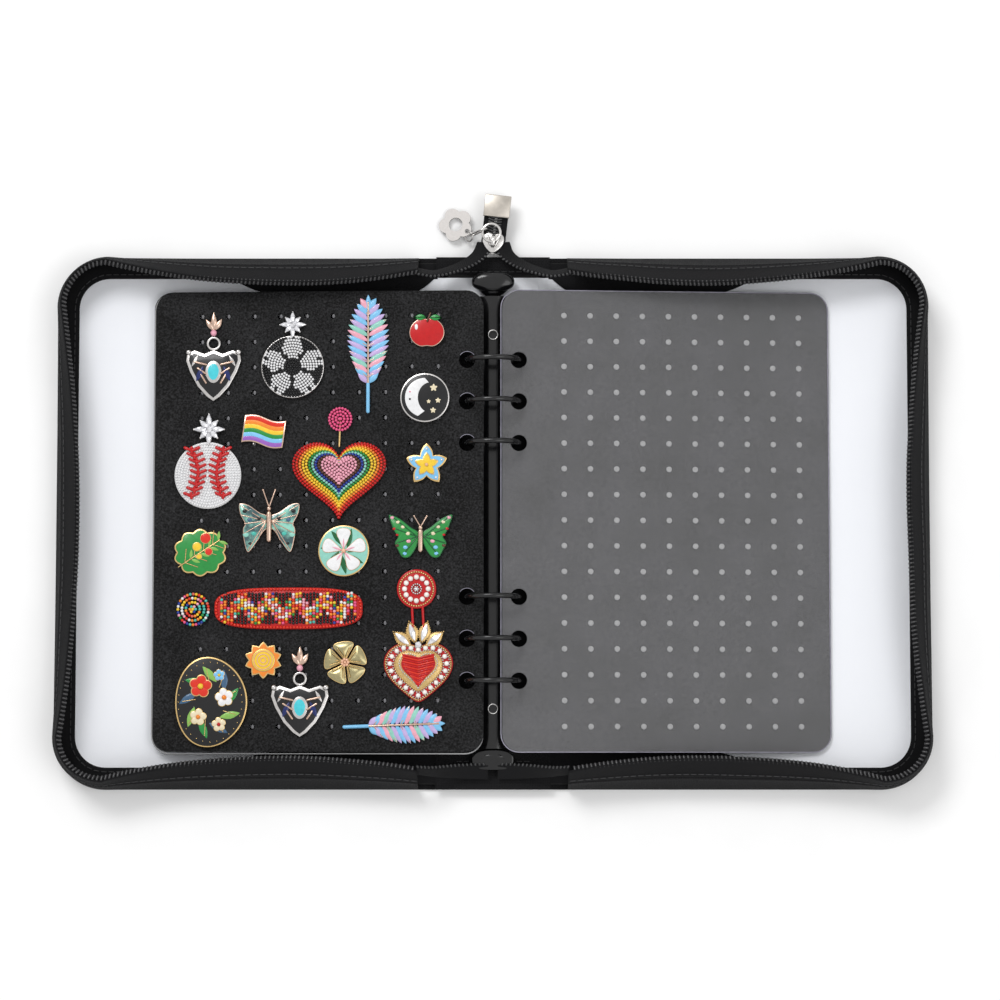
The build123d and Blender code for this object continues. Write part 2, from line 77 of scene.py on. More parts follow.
def fan(count):
    """The cosine and sine of even turns."""
    return [(cos(a), sin(a)) for a in angles(count)]


def new_object(name, verts, faces, material, smooth=True, uvs=None):
    """A mesh object with one material. uvs holds one pair for each vertex, in metres."""
    data = bpy.data.meshes.new(name)
    data.from_pydata([tuple(v) for v in verts], [], [tuple(f) for f in faces])
    data.validate()
    if uvs is not None:
        layer = data.uv_layers.new(name="UVMap")
        for loop in data.loops:
            layer.data[loop.index].uv = uvs[loop.vertex_index]
    data.materials.append(material)
    if smooth:
        data.polygons.foreach_set("use_smooth", [True] * len(data.polygons))
    return linked(bpy.data.objects.new(name, data))


def linked(item):
    bpy.context.scene.collection.objects.link(item)
    return item


def put(piece, body, *nodes):
    """Lets a piece ride on a body and stand for the named nodes."""
    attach(piece, body)
    if nodes:
        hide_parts(*nodes)
    return piece


def solid(rows, closed=False):
    """Points and faces through rings of points, capped unless the last ring meets the first."""
    n, m = len(rows), len(rows[0])
    faces = []
    for i in range(n if closed else n - 1):
        a, b = i * m, (i + 1) % n * m
        for c in range(m):
            d = (c + 1) % m
            faces.append([a + c, b + c, b + d, a + d])
    if not closed:
        faces.append(list(range(m)))
        faces.append([(n - 1) * m + j for j in reversed(range(m))])
    return [p for row in rows for p in row], faces


def outward(piece):
    """Makes every face look outward."""
    mesh = bmesh.new()
    mesh.from_mesh(piece.data)
    bmesh.ops.recalc_face_normals(mesh, faces=mesh.faces)
    mesh.to_mesh(piece.data)
    mesh.free()
    return piece


def crisp(piece, degrees=40):
    piece.modifiers.new("edges", "EDGE_SPLIT").split_angle = radians(degrees)
    return piece


def swept(name, rows, material, closed=False):
    """A tube through rings of points, with running lengths as its UVs."""
    uvs, along = [], 0.0
    for i, row in enumerate(rows):
        if i:
            along += (row[0] - rows[i - 1][0]).length
        across = 0.0
        for j, p in enumerate(row):
            if j:
                across += (p - row[j - 1]).length
            uvs.append((along, across))
    return outward(new_object(name, *solid(rows, closed), material, uvs=uvs))


class Heap:
    """Collects many small shapes into one mesh."""

    def __init__(self):
        self.verts, self.faces, self.slots = [], [], []

    def add(self, template, matrix, slot=0):
        verts, faces = template
        first = len(self.verts)
        self.verts.extend(matrix @ v for v in verts)
        self.faces.extend([first + k for k in face] for face in faces)
        self.slots.extend([slot] * len(faces))

    def build(self, name, *materials, smooth=True):
        piece = new_object(name, self.verts, self.faces, materials[0], smooth)
        for extra in materials[1:]:
            piece.data.materials.append(extra)
        piece.data.polygons.foreach_set("material_index", self.slots)
        return piece


def heaped(name, material, *shapes):
    """One mesh of a few templates, each with its matrix."""
    heap = Heap()
    for template, matrix in shapes:
        heap.add(template, matrix)
    return heap.build(name, material)


def ball_template(level):
    mesh = bmesh.new()
    bmesh.ops.create_icosphere(mesh, subdivisions=level, radius=1.0)
    made = [v.co.copy() for v in mesh.verts], [[v.index for v in f.verts] for f in mesh.faces]
    mesh.free()
    return made


def capsule_template(length, radius, sides=8, rings=3):
    """A round-ended bar along X."""
    rows = []
    for k in range(2 * rings + 2):
        end = -1 if k <= rings else 1
        step = k if k <= rings else 2 * rings + 1 - k
        angle = pi / 2 * (1 - step / rings)
        x = end * (length / 2 - radius + radius * sin(angle))
        r = max(radius * cos(angle), radius * 0.02)
        rows.append([vec(x, r * c, r * s) for c, s in fan(sides)])
    return solid(rows)


def frame_at(place, along, up=(0, 0, 1)):
    """A matrix whose X runs along a direction and whose Z is near up."""
    x = Vector(along).normalized()
    y = Vector(up).cross(x).normalized()
    turn = Matrix((x, y, x.cross(y))).transposed().to_4x4()
    return Matrix.Translation(Vector(place)) @ turn


# Materials
class Tree:
    """A node tree. An input is given a value or another node's output."""

    def __init__(self, owner):
        owner.use_nodes = True
        self.nodes, self.links = owner.node_tree.nodes, owner.node_tree.links

    def fill(self, socket, value):
        if isinstance(value, bpy.types.NodeSocket):
            self.links.new(value, socket)
        else:
            socket.default_value = value

    def node(self, kind, **inputs):
        node = self.nodes.new("ShaderNode" + kind)
        for key, value in inputs.items():
            self.fill(node.inputs[key], value)
        return node

    def math(self, operation, *values):
        node = self.node("Math")
        node.operation = operation
        for socket, value in zip(node.inputs, values):
            self.fill(socket, value)
        return node.outputs[0]

    def place(self, kind):
        return self.node("TexCoord").outputs[kind]

    def noise(self, place, scale, detail=3.0, rough=0.5):
        return self.node("TexNoise", Scale=scale, Detail=detail, Roughness=rough,
            Vector=place).outputs[0]

    def ramp(self, value, *stops):
        """A colour ramp. Each stop is a place from 0 to 1 and a colour."""
        ramp = self.node("ValToRGB")
        elements = ramp.color_ramp.elements
        while len(elements) < len(stops):
            elements.new(0.5)
        for element, (place, colour) in zip(elements, stops):
            element.position = place
            element.color = (*colour, 1)
        self.links.new(value, ramp.inputs[0])
        return ramp.outputs[0]


class Surface(Tree):
    """A material and its shader."""

    def __init__(self, name):
        self.made = bpy.data.materials.new(name)
        super().__init__(self.made)
        self.shader = self.nodes["Principled BSDF"]

    def set(self, **inputs):
        """Fills the shader's inputs. In their names an underscore stands for a space."""
        for key, value in inputs.items():
            self.fill(self.shader.inputs[key.replace("_", " ")], value)

    def bump(self, height, distance):
        bump = self.node("Bump", Strength=1.0, Distance=distance, Height=height)
        self.set(Normal=bump.outputs[0])


def woven(name, dark, light, pitch, rough=0.8, depth=0.25 * mm, sheen=0.02):
    """A plain weave in UV metres: threads take turns on top, with uneven colour and dust, and
    painted shade that darkens the gaps between threads.
    """
    cloth = Surface(name)
    uv = cloth.place("UV")
    split = cloth.node("SeparateXYZ")
    cloth.links.new(uv, split.inputs[0])
    waves = []
    for axis in (0, 1):
        turned = cloth.math("MULTIPLY", split.outputs[axis], pi / pitch)
        waves.append((cloth.math("SINE", turned), cloth.math("COSINE", turned)))
    over = cloth.math("GREATER_THAN", cloth.math("MULTIPLY", waves[0][0], waves[1][0]), 0.0)
    mix = cloth.node("Mix", Factor=over)
    cloth.links.new(cloth.math("ABSOLUTE", waves[0][0]), mix.inputs[2])
    cloth.links.new(cloth.math("ABSOLUTE", waves[1][0]), mix.inputs[3])
    grain = cloth.noise(uv, 0.7 / pitch, 4.0, 0.7)
    patches = cloth.noise(uv, 35.0, 2.0)
    mixed = cloth.math("MULTIPLY", mix.outputs[0], cloth.math("ADD", grain, 0.5))
    # Painted shade: through the ramp below, lower weave height gives darker colour.
    shade = cloth.math("ADD", mixed, cloth.math("MULTIPLY", patches, 0.3))
    roughness = cloth.math("ADD", cloth.math("MULTIPLY", grain, 0.25), rough - 0.12)
    cloth.set(Base_Color=cloth.ramp(shade, (0.15, dark), (0.75, light), (1.0, light)),
        Roughness=roughness, Specular_IOR_Level=0.12, Sheen_Weight=sheen)
    cloth.bump(mixed, depth)
    return cloth.made


def grained(name, dark, light, scale, rough, depth, coat=0.0, detail=4.0, metallic=0.0,
        spread=(0.35, 0.65), specular=0.5):
    """A surface with fine grain: colour, roughness and bump from layered noise."""
    surface = Surface(name)
    place = surface.place("Object")
    grain = surface.noise(place, scale, detail, 0.6)
    broad = surface.noise(place, scale / 24, 2.0)
    both = surface.math("ADD", surface.math("MULTIPLY", grain, 0.8),
        surface.math("MULTIPLY", broad, 0.2))
    roughness = surface.math("ADD", surface.math("MULTIPLY", both, 0.2), rough - 0.1)
    surface.set(Base_Color=surface.ramp(both, (spread[0], dark), (spread[1], light)),
        Roughness=roughness, Metallic=metallic, Coat_Weight=coat, Coat_Roughness=0.08,
        Specular_IOR_Level=specular)
    surface.bump(both, depth)
    return surface.made


def metal(name, colour, rough=0.22, scale=900.0):
    dark = tuple(0.8 * c for c in colour)
    return grained(name, dark, colour, scale, rough, 0.02 * mm, metallic=1.0)


def enamel(name, colour):
    dark = tuple(0.86 * c for c in colour)
    return grained(name, dark, colour, 700.0, 0.3, 0.03 * mm, coat=0.25, specular=0.25)


case_cloth = woven("case_cloth", (0.002, 0.002, 0.0024), (0.011, 0.011, 0.012), 0.75 * mm)
tape_cloth = woven("tape_cloth", (0.002, 0.002, 0.0024), (0.01, 0.01, 0.011), 0.5 * mm,
    depth=0.15 * mm)
lining_cloth = woven("lining_cloth", (0.86, 0.88, 0.93), (0.93, 0.945, 0.985), 0.42 * mm,
    depth=0.05 * mm, rough=0.75, sheen=0.1)
thread = grained("thread", (0.008, 0.008, 0.009), (0.03, 0.03, 0.032), 1500.0, 0.6, 0.05 * mm)
nylon = grained("nylon", (0.012, 0.012, 0.013), (0.04, 0.04, 0.042), 1200.0, 0.3, 0.03 * mm)
gloss_black = grained("gloss_black", (0.003, 0.003, 0.0035), (0.006, 0.006, 0.0065), 350.0,
    0.16, 0.01 * mm, coat=0.25, specular=0.3)
nickel = metal("nickel", (0.62, 0.605, 0.59))
brushed = metal("brushed", (0.46, 0.425, 0.38), rough=0.38, scale=260.0)
charm_steel = metal("charm_steel", (0.36, 0.345, 0.335), rough=0.5)
board_card = grained("board_card", (0.006, 0.006, 0.006), (0.016, 0.016, 0.016), 400.0, 0.85,
    0.1 * mm)
black_rubber = grained("black_rubber", (0.01, 0.01, 0.011), (0.02, 0.02, 0.022), 800.0, 0.6,
    0.05 * mm)
black_page = grained("black_page", (0.002, 0.002, 0.002), (0.038, 0.038, 0.04), 1150.0, 0.7,
    0.3 * mm, detail=5.0, spread=(0.42, 0.72), specular=0.12)
grey_page = grained("grey_page", (0.066, 0.066, 0.067), (0.088, 0.088, 0.089), 600.0, 0.5,
    0.04 * mm, specular=0.35)


def low(node):
    return Vector(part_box(node)[0])


def high(node):
    return Vector(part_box(node)[1])


# Sizes of the case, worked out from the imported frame
half_w, half_d, fabric_t = high("right_cover_fabric")
wall_x = low("right_gusset").x
seam_z = high("right_gusset").z
rim_z = high("right_zip_tape").z
panel_t = high("right_cover_lining").z
fold_low = high("spine_board").x
fold_high = low("right_cover_board").x
ring_axis_z = 15.6 * mm
corner_r = 24 * mm
sides = ((-1, "left"), (1, "right"))
ends = (("head", 1), ("foot", -1))

# Insets at a corner, at a long side's middle, at the fore edge's middle and at the spine end
foot_insets = (0, 0, 0, 0)
seam_insets, rim_insets = in_mm((1.5, 5.5, 4.2, 3.0), (3.2, 13.4, 10.8, 7.7))


# Case
def arc_points(a, b, c, count):
    """Points on the circle through three points, from the first towards the last."""
    (ax, ay), (bx, by), (cx, cy) = a, b, c
    d = 2 * (ax * (by - cy) + bx * (cy - ay) + cx * (ay - by))
    if abs(d) < 1e-12:
        return [(ax + (cx - ax) * k / count, ay + (cy - ay) * k / count) for k in range(count)]
    a2, b2, c2 = ax * ax + ay * ay, bx * bx + by * by, cx * cx + cy * cy
    ox = (a2 * (by - cy) + b2 * (cy - ay) + c2 * (ay - by)) / d
    oy = (a2 * (cx - bx) + b2 * (ax - cx) + c2 * (bx - ax)) / d
    r = hypot(ax - ox, ay - oy)
    start = atan2(ay - oy, ax - ox)
    span = atan2(cy - oy, cx - ox) - start
    while span > pi:
        span -= 2 * pi
    while span < -pi:
        span += 2 * pi
    steps = [start + span * k / count for k in range(count)]
    return [(ox + r * cos(turn), oy + r * sin(turn)) for turn in steps]


def wall_path(z, off):
    """The right wall at a height, from above: head side, fore edge and foot side."""
    if z < seam_z:
        a, b, share = foot_insets, seam_insets, max(0, (z - fabric_t) / (seam_z - fabric_t))
    else:
        a, b, share = seam_insets, rim_insets, (z - seam_z) / (rim_z - seam_z)
    corner, long_mid, fore_mid, spine_end = (p + (q - p) * share + off for p, q in zip(a, b))
    r = corner_r - corner
    x1, y1 = half_w - corner, half_d - corner
    x_mid = (wall_x + half_w - corner_r) / 2
    cut = r * (1 - sqrt(0.5))
    end_y, mid_y = half_d - spine_end, half_d - long_mid
    points = []
    for first, middle, last, count in (
            ((wall_x, end_y), (x_mid, mid_y), (x1 - r, y1), 120),
            ((x1 - r, y1), (x1 - cut, y1 - cut), (x1, y1 - r), 30),
            ((x1, y1 - r), (half_w - fore_mid, 0), (x1, r - y1), 150),
            ((x1, r - y1), (x1 - cut, cut - y1), (x1 - r, -y1), 30),
            ((x1 - r, -y1), (x_mid, -mid_y), (wall_x, -end_y), 120)):
        points += arc_points(first, middle, last, count)
    return np.array(points + [(wall_x, -end_y)])


foot_line = wall_path(fabric_t, 0)
run = np.concatenate([[0], np.cumsum(np.hypot(*np.diff(foot_line, axis=0).T))])
dent_size = 0.7 * mm


def dent(i, z, side, seed):
    """A small soft dent of the wall, none at its foot and its spine ends."""
    far = min(1, run[i] / 0.03, (run[-1] - run[i]) / 0.03)
    rise = min(1, max(0, z / seam_z))
    return dent_size * far * rise * noise.noise(vec(run[i] * 22, z * 60, seed + 5 * side))


def dented(i, point, inward, z, side, lift=0.0):
    """A point of the wall's path, moved by its dent."""
    shift = dent(i, z, side, 2.0)
    return vec(side * (point[0] - inward.x * shift), point[1] - inward.y * shift, z + lift)


def inward_at(x, y):
    return vec(x * 0.9, y * 0.85).normalized()


def wall_piece(name, side, section, material, node, body):
    """A piece of wall from its section. A section point is a height and an inset more."""
    paths = [wall_path(z, off) for z, off in section]
    rows = []
    for i, start in enumerate(paths[0]):
        inward = inward_at(*start)
        rows.append([dented(i, path[i], inward, z, side, 0.25 * dent(i, z, side, 11.0))
            for (z, off), path in zip(section, paths)])
    return put(swept(name, rows, material), body, node), rows


gusset_section = in_mm((0.9, 0.1), (2.2, -0.25), (4, -0.1), (7, 0), (10, 0), (12, -0.15),
    (13.3, -0.35), (13.95, 0.1), (13.95, 0.9), (12, 1.2), (8, 1.25), (4, 1.2), (1, 1.1))
tape_section = in_mm((14.05, 0.15), (14.6, -0.05), (16, 0), (18, 0), (20, 0), (21.1, 0.05),
    (21.55, 0.3), (21.5, 0.8), (20.5, 1), (18, 1), (15, 1))


def stations(a, b, step):
    count = max(2, int(abs(b - a) / step) + 1)
    return [a + (b - a) * k / (count - 1) for k in range(count)]


def cloth_sheet(name, xs, ys, top, thickness, material, inside=None):
    """A closed sheet on a grid. top gives its upper face and inside bends its outline."""
    xs, ys = stations(*xs), stations(*ys)
    columns, rows = len(xs), len(ys)
    verts, uvs, faces = [], [], []
    for lower in (False, True):
        for x in xs:
            for y in ys:
                px, py = inside(x, y) if inside else (x, y)
                verts.append(vec(px, py, top(px, py) - (thickness if lower else 0)))
                uvs.append((px, py))
    count = columns * rows
    for i in range(columns - 1):
        for j in range(rows - 1):
            a, b = i * rows + j, (i + 1) * rows + j
            faces.append((a, b, b + 1, a + 1))
            faces.append((count + a, count + a + 1, count + b + 1, count + b))
    rim = [i * rows for i in range(columns)]
    rim += [(columns - 1) * rows + j for j in range(1, rows)]
    rim += [i * rows + rows - 1 for i in reversed(range(columns - 1))]
    rim += list(reversed(range(1, rows - 1)))
    for a, b in zip(rim, rim[1:] + rim[:1]):
        faces.append((a, count + a, count + b, b))
    return crisp(outward(new_object(name, verts, faces, material, uvs=uvs)), 50)


def rounded_corner(side, inset):
    """Moves grid points near the two fore-edge corners onto the round corner."""
    r = corner_r - inset
    x1, y1 = half_w - inset - r, half_d - inset - r

    def inside(x, y):
        u, v = side * x - x1, abs(y) - y1
        if u <= 0 or v <= 0:
            return x, y
        reach, angle = max(u, v), atan(v / u)
        return side * (x1 + reach * cos(angle)), copysign(y1 + reach * sin(angle), y)
    return inside


def flat_top(z, soft=0.0, seed=0.0):
    return lambda x, y: z + soft * noise.noise(vec(x * 28, y * 28, seed))


def band_outline(inset, side):
    """The cover's outline at one inset, from the spine's head end round to its foot end."""
    r = corner_r - inset
    x1, y1 = half_w - inset, half_d - inset
    corner = [(1 - k / 12) * pi / 2 for k in range(1, 13)]
    points = [(x, y1) for x in stations(fold_high, x1 - r, 4 * mm)]
    points += [(x1 - r + r * cos(turn), y1 - r + r * sin(turn)) for turn in corner]
    points += [(x1, y) for y in stations(y1 - r, r - y1, 4 * mm)][1:]
    points += [(x1 - r + r * cos(turn), r - y1 + r * sin(turn))
        for turn in (-pi / 2 * k / 12 for k in range(1, 13))]
    points += [(x, -y1) for x in reversed(stations(fold_high, x1 - r, 4 * mm))][1:]
    return [(side * x, y) for x, y in points]


def band_rows(inset, width, z0, z1, side):
    """Rings of a band on the cover's outline, between two insets and two heights."""
    rows = []
    for (ox, oy), (ix, iy) in zip(band_outline(inset, side), band_outline(inset + width, side)):
        rows.append([vec(ox + (ix - ox) * share, oy + (iy - oy) * share, z) for share, z in (
            (0, z0), (0, z1 - 0.2 * mm), (0.06, z1), (0.94, z1), (1, z1 - 0.2 * mm), (1, z0))])
    return rows


coil_pitch, cord_radius = 1.9 * mm, 0.95 * mm
tooth = capsule_template(2.7 * mm, 0.52 * mm)


def coil_pieces(name, cord_name, points, outs, tilt_up, skip=1):
    """Coil teeth at even steps along a line, and the dark cord that they wrap."""
    heap = Heap()
    lengths = [0]
    for a, b in zip(points, points[1:]):
        lengths.append(lengths[-1] + (b - a).length)
    k = 0
    for n in range(int(lengths[-1] / coil_pitch)):
        place = (n + 0.5) * coil_pitch
        while lengths[k + 1] < place:
            k += 1
        share = (place - lengths[k]) / (lengths[k + 1] - lengths[k])
        here = points[k].lerp(points[k + 1], share)
        out = outs[k].lerp(outs[k + 1], share).normalized()
        along = (points[k + 1] - points[k]).normalized()
        lean = (out + vec(0, 0, tilt_up) + along * 0.22).normalized()
        heap.add(tooth, frame_at(here, lean, along.cross(lean)))
    teeth = heap.build(name, nylon)
    if skip > 1:
        points, outs = points[:-1:skip], outs[:-1:skip]
    rows = []
    for k, (here, out) in enumerate(zip(points, outs)):
        along = points[min(k + 1, len(points) - 1)] - points[max(k - 1, 0)]
        up = along.cross(out).normalized()
        below = here - vec(0, 0, 0.35 * mm)
        rows.append([below + out * (cord_radius * c) + up * (0.7 * cord_radius * s)
            for c, s in fan(8)])
    return teeth, swept(cord_name, rows, tape_cloth)


def smooth_line(points, count):
    """A smooth line through a few points."""
    line = []
    p = [Vector(q) for q in points]
    p = [2 * p[0] - p[1]] + p + [2 * p[-1] - p[-2]]
    for k in range(1, len(p) - 2):
        for t in (n / count for n in range(count)):
            line.append(spline_point(*p[k - 1:k + 3], t))
    return line + [p[-2]]


def spline_point(a, b, c, d, t):
    """A place between the middle two of four points or numbers."""
    return 0.5 * ((2 * b) + (c - a) * t + (2 * a - 5 * b + 4 * c - d) * t * t
        + (3 * b - a - 3 * c + d) * t ** 3)


ribbon_shape = ((-0.5, -0.4), (-0.5, 0.4), (-0.46, 0.5), (-0.2, 0.5), (0.2, 0.5), (0.46, 0.5),
    (0.5, 0.4), (0.5, -0.4), (0.46, -0.5), (-0.46, -0.5))


def ribbon(name, line, normals, width, thickness, material):
    """A flat ribbon. normals gives its width direction at each point of its line."""
    rows = []
    for k, (here, wide) in enumerate(zip(line, normals)):
        ahead = line[min(k + 1, len(line) - 1)] - line[max(k - 1, 0)]
        wide = wide.normalized()
        deep = ahead.normalized().cross(wide).normalized()
        rows.append([here + wide * (a * width) + deep * (b * thickness)
            for a, b in ribbon_shape])
    return swept(name, rows, material)


stitch = capsule_template(2.6 * mm, 0.24 * mm, sides=6, rings=2)
stitch_pitch = 3.4 * mm


def stitch_line(name, points, body):
    """Short stitches lying along a line of points."""
    heap = Heap()
    travelled, due = 0.0, stitch_pitch / 2
    for a, b in zip(points, points[1:]):
        step = (b - a).length
        while travelled + step >= due:
            heap.add(stitch, frame_at(a.lerp(b, (due - travelled) / step), b - a))
            due += stitch_pitch
        travelled += step
    put(heap.build(name, thread), body)


def bend(piece, side, word, start=fold_low, end=fold_high, z=0.4 * mm):
    """Bakes a piece's transform into its mesh. Nothing bends it."""
    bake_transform(piece)


facing_in, facing_out, facing_spread = 104.5 * mm, half_d - 3 * mm, 9 * mm
facing_start = fold_high + 0.3 * mm
facing_open, facing_straight, facing_end = 42 * mm, 96 * mm, 122 * mm
cloth_gap, fold_lap, fold_sag = 0.2 * mm, 0.6 * mm, 0.5 * mm
lining_t, facing_t, facing_top = 0.6 * mm, 0.5 * mm, panel_t + 0.5 * mm
coarse, even, fine, bending = 6 * mm, 3 * mm, 2 * mm, 0.5 * mm
coil_seat, coil_inset, coil_outer, coil_lift = 20.6 * mm, 1.9 * mm, 0.6 * mm, 0.15 * mm
seam_height, seam_out, seam_lift = 15.4 * mm, -0.1 * mm, 0.15 * mm
binding_low, binding_high, binding_lap = 2.8 * mm, 3.9 * mm, 0.6 * mm
binding_stitch_in, binding_stitch_z = 1.4 * mm, 4.0 * mm
lining_y = high("right_cover_lining").y
lining_inset = half_d - lining_y
binding_inset = half_d - high("right_inner_binding").y
for side, word in sides:
    body = word + "_cover"
    wall, rows = wall_piece(word + "_gusset_wall", side, gusset_section, case_cloth,
        word + "_gusset", body)
    across = sum(dist(a, b) for a, b in zip(gusset_section, gusset_section[1:])) / 2
    middle = [(row[0] + row[len(row) // 2]) / 2 for row in rows]
    along = sum((b - a).length for a, b in zip(middle, middle[1:]))
    wall_piece(word + "_zip_band", side, tape_section, tape_cloth, word + "_zip_tape", body)

    # The zip's coil just inside the rim of its tape
    points, outs = [], []
    for i, (here, outer) in enumerate(zip(wall_path(coil_seat, coil_inset),
            wall_path(coil_seat, coil_outer))):
        points.append(dented(i, here, inward_at(*here), coil_seat, side, coil_lift))
        outs.append(vec(side * (here[0] - outer[0]), here[1] - outer[1]).normalized())
    teeth, cord = coil_pieces(word + "_coil", word + "_coil_cord", points, outs, -0.35, 2)
    put(teeth, body, word + "_zip_teeth")
    put(cord, body)
    seam = [dented(i, here, inward_at(*here), seam_height, side, seam_lift)
        for i, here in enumerate(wall_path(seam_height, seam_out))]
    stitch_line(word + "_seam_stitches", seam, body)

    # Outer fabric, lining and the binding between the lining and the wall
    near = side * (fold_high + cloth_gap)
    put(cloth_sheet(word + "_cover_cloth", (near, side * half_w, coarse),
        (-half_d, half_d, coarse), flat_top(fabric_t), fabric_t, case_cloth,
        rounded_corner(side, 0)), body, word + "_cover_fabric")
    put(cloth_sheet(word + "_lining_cloth", (near, side * (half_w - lining_inset), 3.5 * mm),
        (-lining_y, lining_y, 3.5 * mm), flat_top(panel_t, 0.35 * mm, side * 3.0), lining_t,
        lining_cloth, rounded_corner(side, lining_inset)), body, word + "_cover_lining")
    band = band_rows(binding_inset, lining_inset - binding_inset + binding_lap, binding_low,
        binding_high, side)
    put(swept(word + "_binding_band", band, tape_cloth), body, word + "_inner_binding")
    edge = [vec(x, y, binding_stitch_z)
        for x, y in band_outline(lining_inset - binding_stitch_in, side)]
    stitch_line(word + "_binding_stitches", edge, body)

    # Black facings between the pages' ends and the wall
    for end_word, end in ends:
        def faced(x, y, end=end):
            fade = min(1, max(0, (abs(x) - facing_straight) / (facing_end - facing_straight)))
            if end > 0:
                fade += min(1, max(0, (facing_open - abs(x)) / (facing_open - facing_start)))
            inner = facing_in + facing_spread * fade ** 2
            share = (abs(y) - facing_in) / (facing_out - facing_in)
            return x, end * (inner + (facing_out - inner) * share)
        put(cloth_sheet(f"{word}_{end_word}_facing",
            (side * facing_start, side * facing_end, fine),
            (end * facing_in, end * facing_out, fine),
            flat_top(facing_top, 0.15 * mm, 6.0), facing_t, tape_cloth, faced), body)

    # Cloth that crosses the fold
    for part, top, thick, cloth, reach_y, sag in (
            ("fold_cloth", fabric_t, fabric_t, case_cloth, half_d, 0),
            ("fold_lining", panel_t, lining_t, lining_cloth, lining_y, fold_sag)):
        def dipped(x, y, top=top, sag=sag):
            share = (abs(x) - fold_low) / (fold_high - fold_low)
            return top - sag * sin(pi * min(1, max(0, share)))
        bend(cloth_sheet(word + "_" + part,
            (side * (fold_low - cloth_gap), side * (fold_high + fold_lap), bending),
            (-reach_y, reach_y, 4 * mm), dipped, thick, cloth), side, word)

# Spine
put(cloth_sheet("spine_cloth", (-fold_low, fold_low, even), (-half_d, half_d, coarse),
    flat_top(fabric_t), fabric_t, case_cloth), "spine", "spine_fabric")
put(cloth_sheet("spine_lining_cloth", (-fold_low, fold_low, even),
    (-lining_y, lining_y, even), flat_top(panel_t, 0.2 * mm, 8.0), lining_t, lining_cloth),
    "spine", "spine_lining")
# Painted shade: a black cloth strip under the rings, so the pages' ring holes look dark instead
# of showing the lining in shadow.
shade_cloth_x, shade_cloth_y = 17 * mm, 98 * mm
put(cloth_sheet("spine_shade_cloth", (-shade_cloth_x, shade_cloth_x, fine),
    (-shade_cloth_y, shade_cloth_y, 4 * mm), flat_top(facing_top, 0.1 * mm, 5.0), facing_t,
    tape_cloth), "spine")
panel_x, panel_top, panel_sheet_t = high("spine_end_panels").x, 4.7 * mm, 1.2 * mm
flap_lap, flap_drop = 0.3 * mm, 0.1 * mm
panel_stitch_y, panel_stitch_in, panel_stitch_z = 14 * mm, 1.2 * mm, 4.85 * mm
for (word, end), deep, nodes in zip(ends, (8 * mm, 19 * mm), (["spine_end_panels"], [])):
    panel_y = (end * half_d, end * (half_d - deep), 1.5 * mm)
    put(cloth_sheet("spine_" + word + "_panel", (-panel_x, panel_x, even), panel_y,
        flat_top(panel_top, 0.2 * mm, 12.0 + end), panel_sheet_t, case_cloth), "spine", *nodes)
    for side, side_word in sides:
        bend(cloth_sheet(side_word + "_" + word + "_flap",
            (side * (panel_x - flap_lap), side * (fold_high + fold_lap), bending), panel_y,
            flat_top(panel_top - flap_drop, 0.2 * mm, 12.0 + end), panel_sheet_t - flap_drop,
            case_cloth), side, side_word)
    row_y = end * (half_d - min(deep, panel_stitch_y) + panel_stitch_in)
    stitch_line("spine_" + word + "_stitches", [vec(x, row_y, panel_stitch_z)
        for x in stations(-panel_x + 1 * mm, panel_x - 1 * mm, even)], "spine")

# Strands of open zip, upright at the walls' ends and flatter at the spine
strand_w, strand_t, strand_coil_mm = 6.6 * mm, 1.1 * mm, 3.1
strand_bend = 11 * mm, 33 * mm
strand_start = vec(wall_x + 0.6 * mm, half_d - 8.6 * mm, 18.2 * mm)
# Points of the right one, and how far both are moved to the right
strand_paths = {
    "head": in_mm((27, 112.7, 15.8, 0), (19.5, 114.9, 12.8, 0), (12.6, 118, 10.4, 0),
        (6.6, 122.6, 8.8, 0), (4.1, 128.2, 8, 0.2)),
    "foot": in_mm((27, -114, 14, 0), (19, -114, 10.4, 0), (11, -114, 8.4, 0),
        (2.2, -114, 7.6, 0))}
for side, word in sides:
    for end_word, end in ends:
        path = [vec(side * x + moved, y, z) for x, y, z, moved in strand_paths[end_word]]
        start = vec(side * strand_start.x, end * strand_start.y, strand_start.z)
        line = smooth_line([start] + path, 12)
        wide_from = vec(0, -0.55 * end, 1)
        wide_to = vec(-side, -0.1, 0.12) if end > 0 else vec(0, 1, 0.35)
        normals = []
        for share in (k / (len(line) - 1) for k in range(len(line))):
            normals.append(wide_from.lerp(wide_to, share * share * (3 - 2 * share)))
        name = f"{word}_{end_word}_zip"
        tape = ribbon(name, line, normals, strand_w, strand_t, tape_cloth)
        points = [p + n.normalized() * strand_coil_mm * mm for p, n in zip(line, normals)]
        teeth, cord = coil_pieces(name + "_coil", name + "_cord", points,
            [-n.normalized() for n in normals], 0.0)
        for piece in (tape, teeth, cord):
            bend(piece, side, word, *strand_bend, 0)
        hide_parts(f"{word}_{end_word}_strand")


def assign(material, *nodes):
    """Gives CAD nodes a material."""
    for node in nodes:
        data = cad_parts[node].data
        data.materials.clear()
        data.materials.append(material)


# Outlines, and solids made from them
def shrunk(outline, off):
    """An outline moved inward by a distance, along its own normals."""
    following = outline[1:] + outline[:1]
    area = sum(a[0] * b[1] - b[0] * a[1] for a, b in zip(outline, following))
    turn = 1 if area > 0 else -1
    made = []
    for (x, y), (ax, ay), (bx, by) in zip(outline, outline[-1:] + outline[:-1], following):
        dx, dy = bx - ax, by - ay
        size = hypot(dx, dy) or 1
        made.append((x - turn * dy / size * off, y + turn * dx / size * off))
    return made


def slab_template(outline, z0, z1, bevel):
    """A flat solid with a rounded upper edge."""
    levels = [(0, z0), (0, z1 - bevel), (0.3 * bevel, z1 - 0.3 * bevel), (bevel, z1)]
    return solid([[vec(x, y, z) for x, y in shrunk(outline, off)] for off, z in levels])


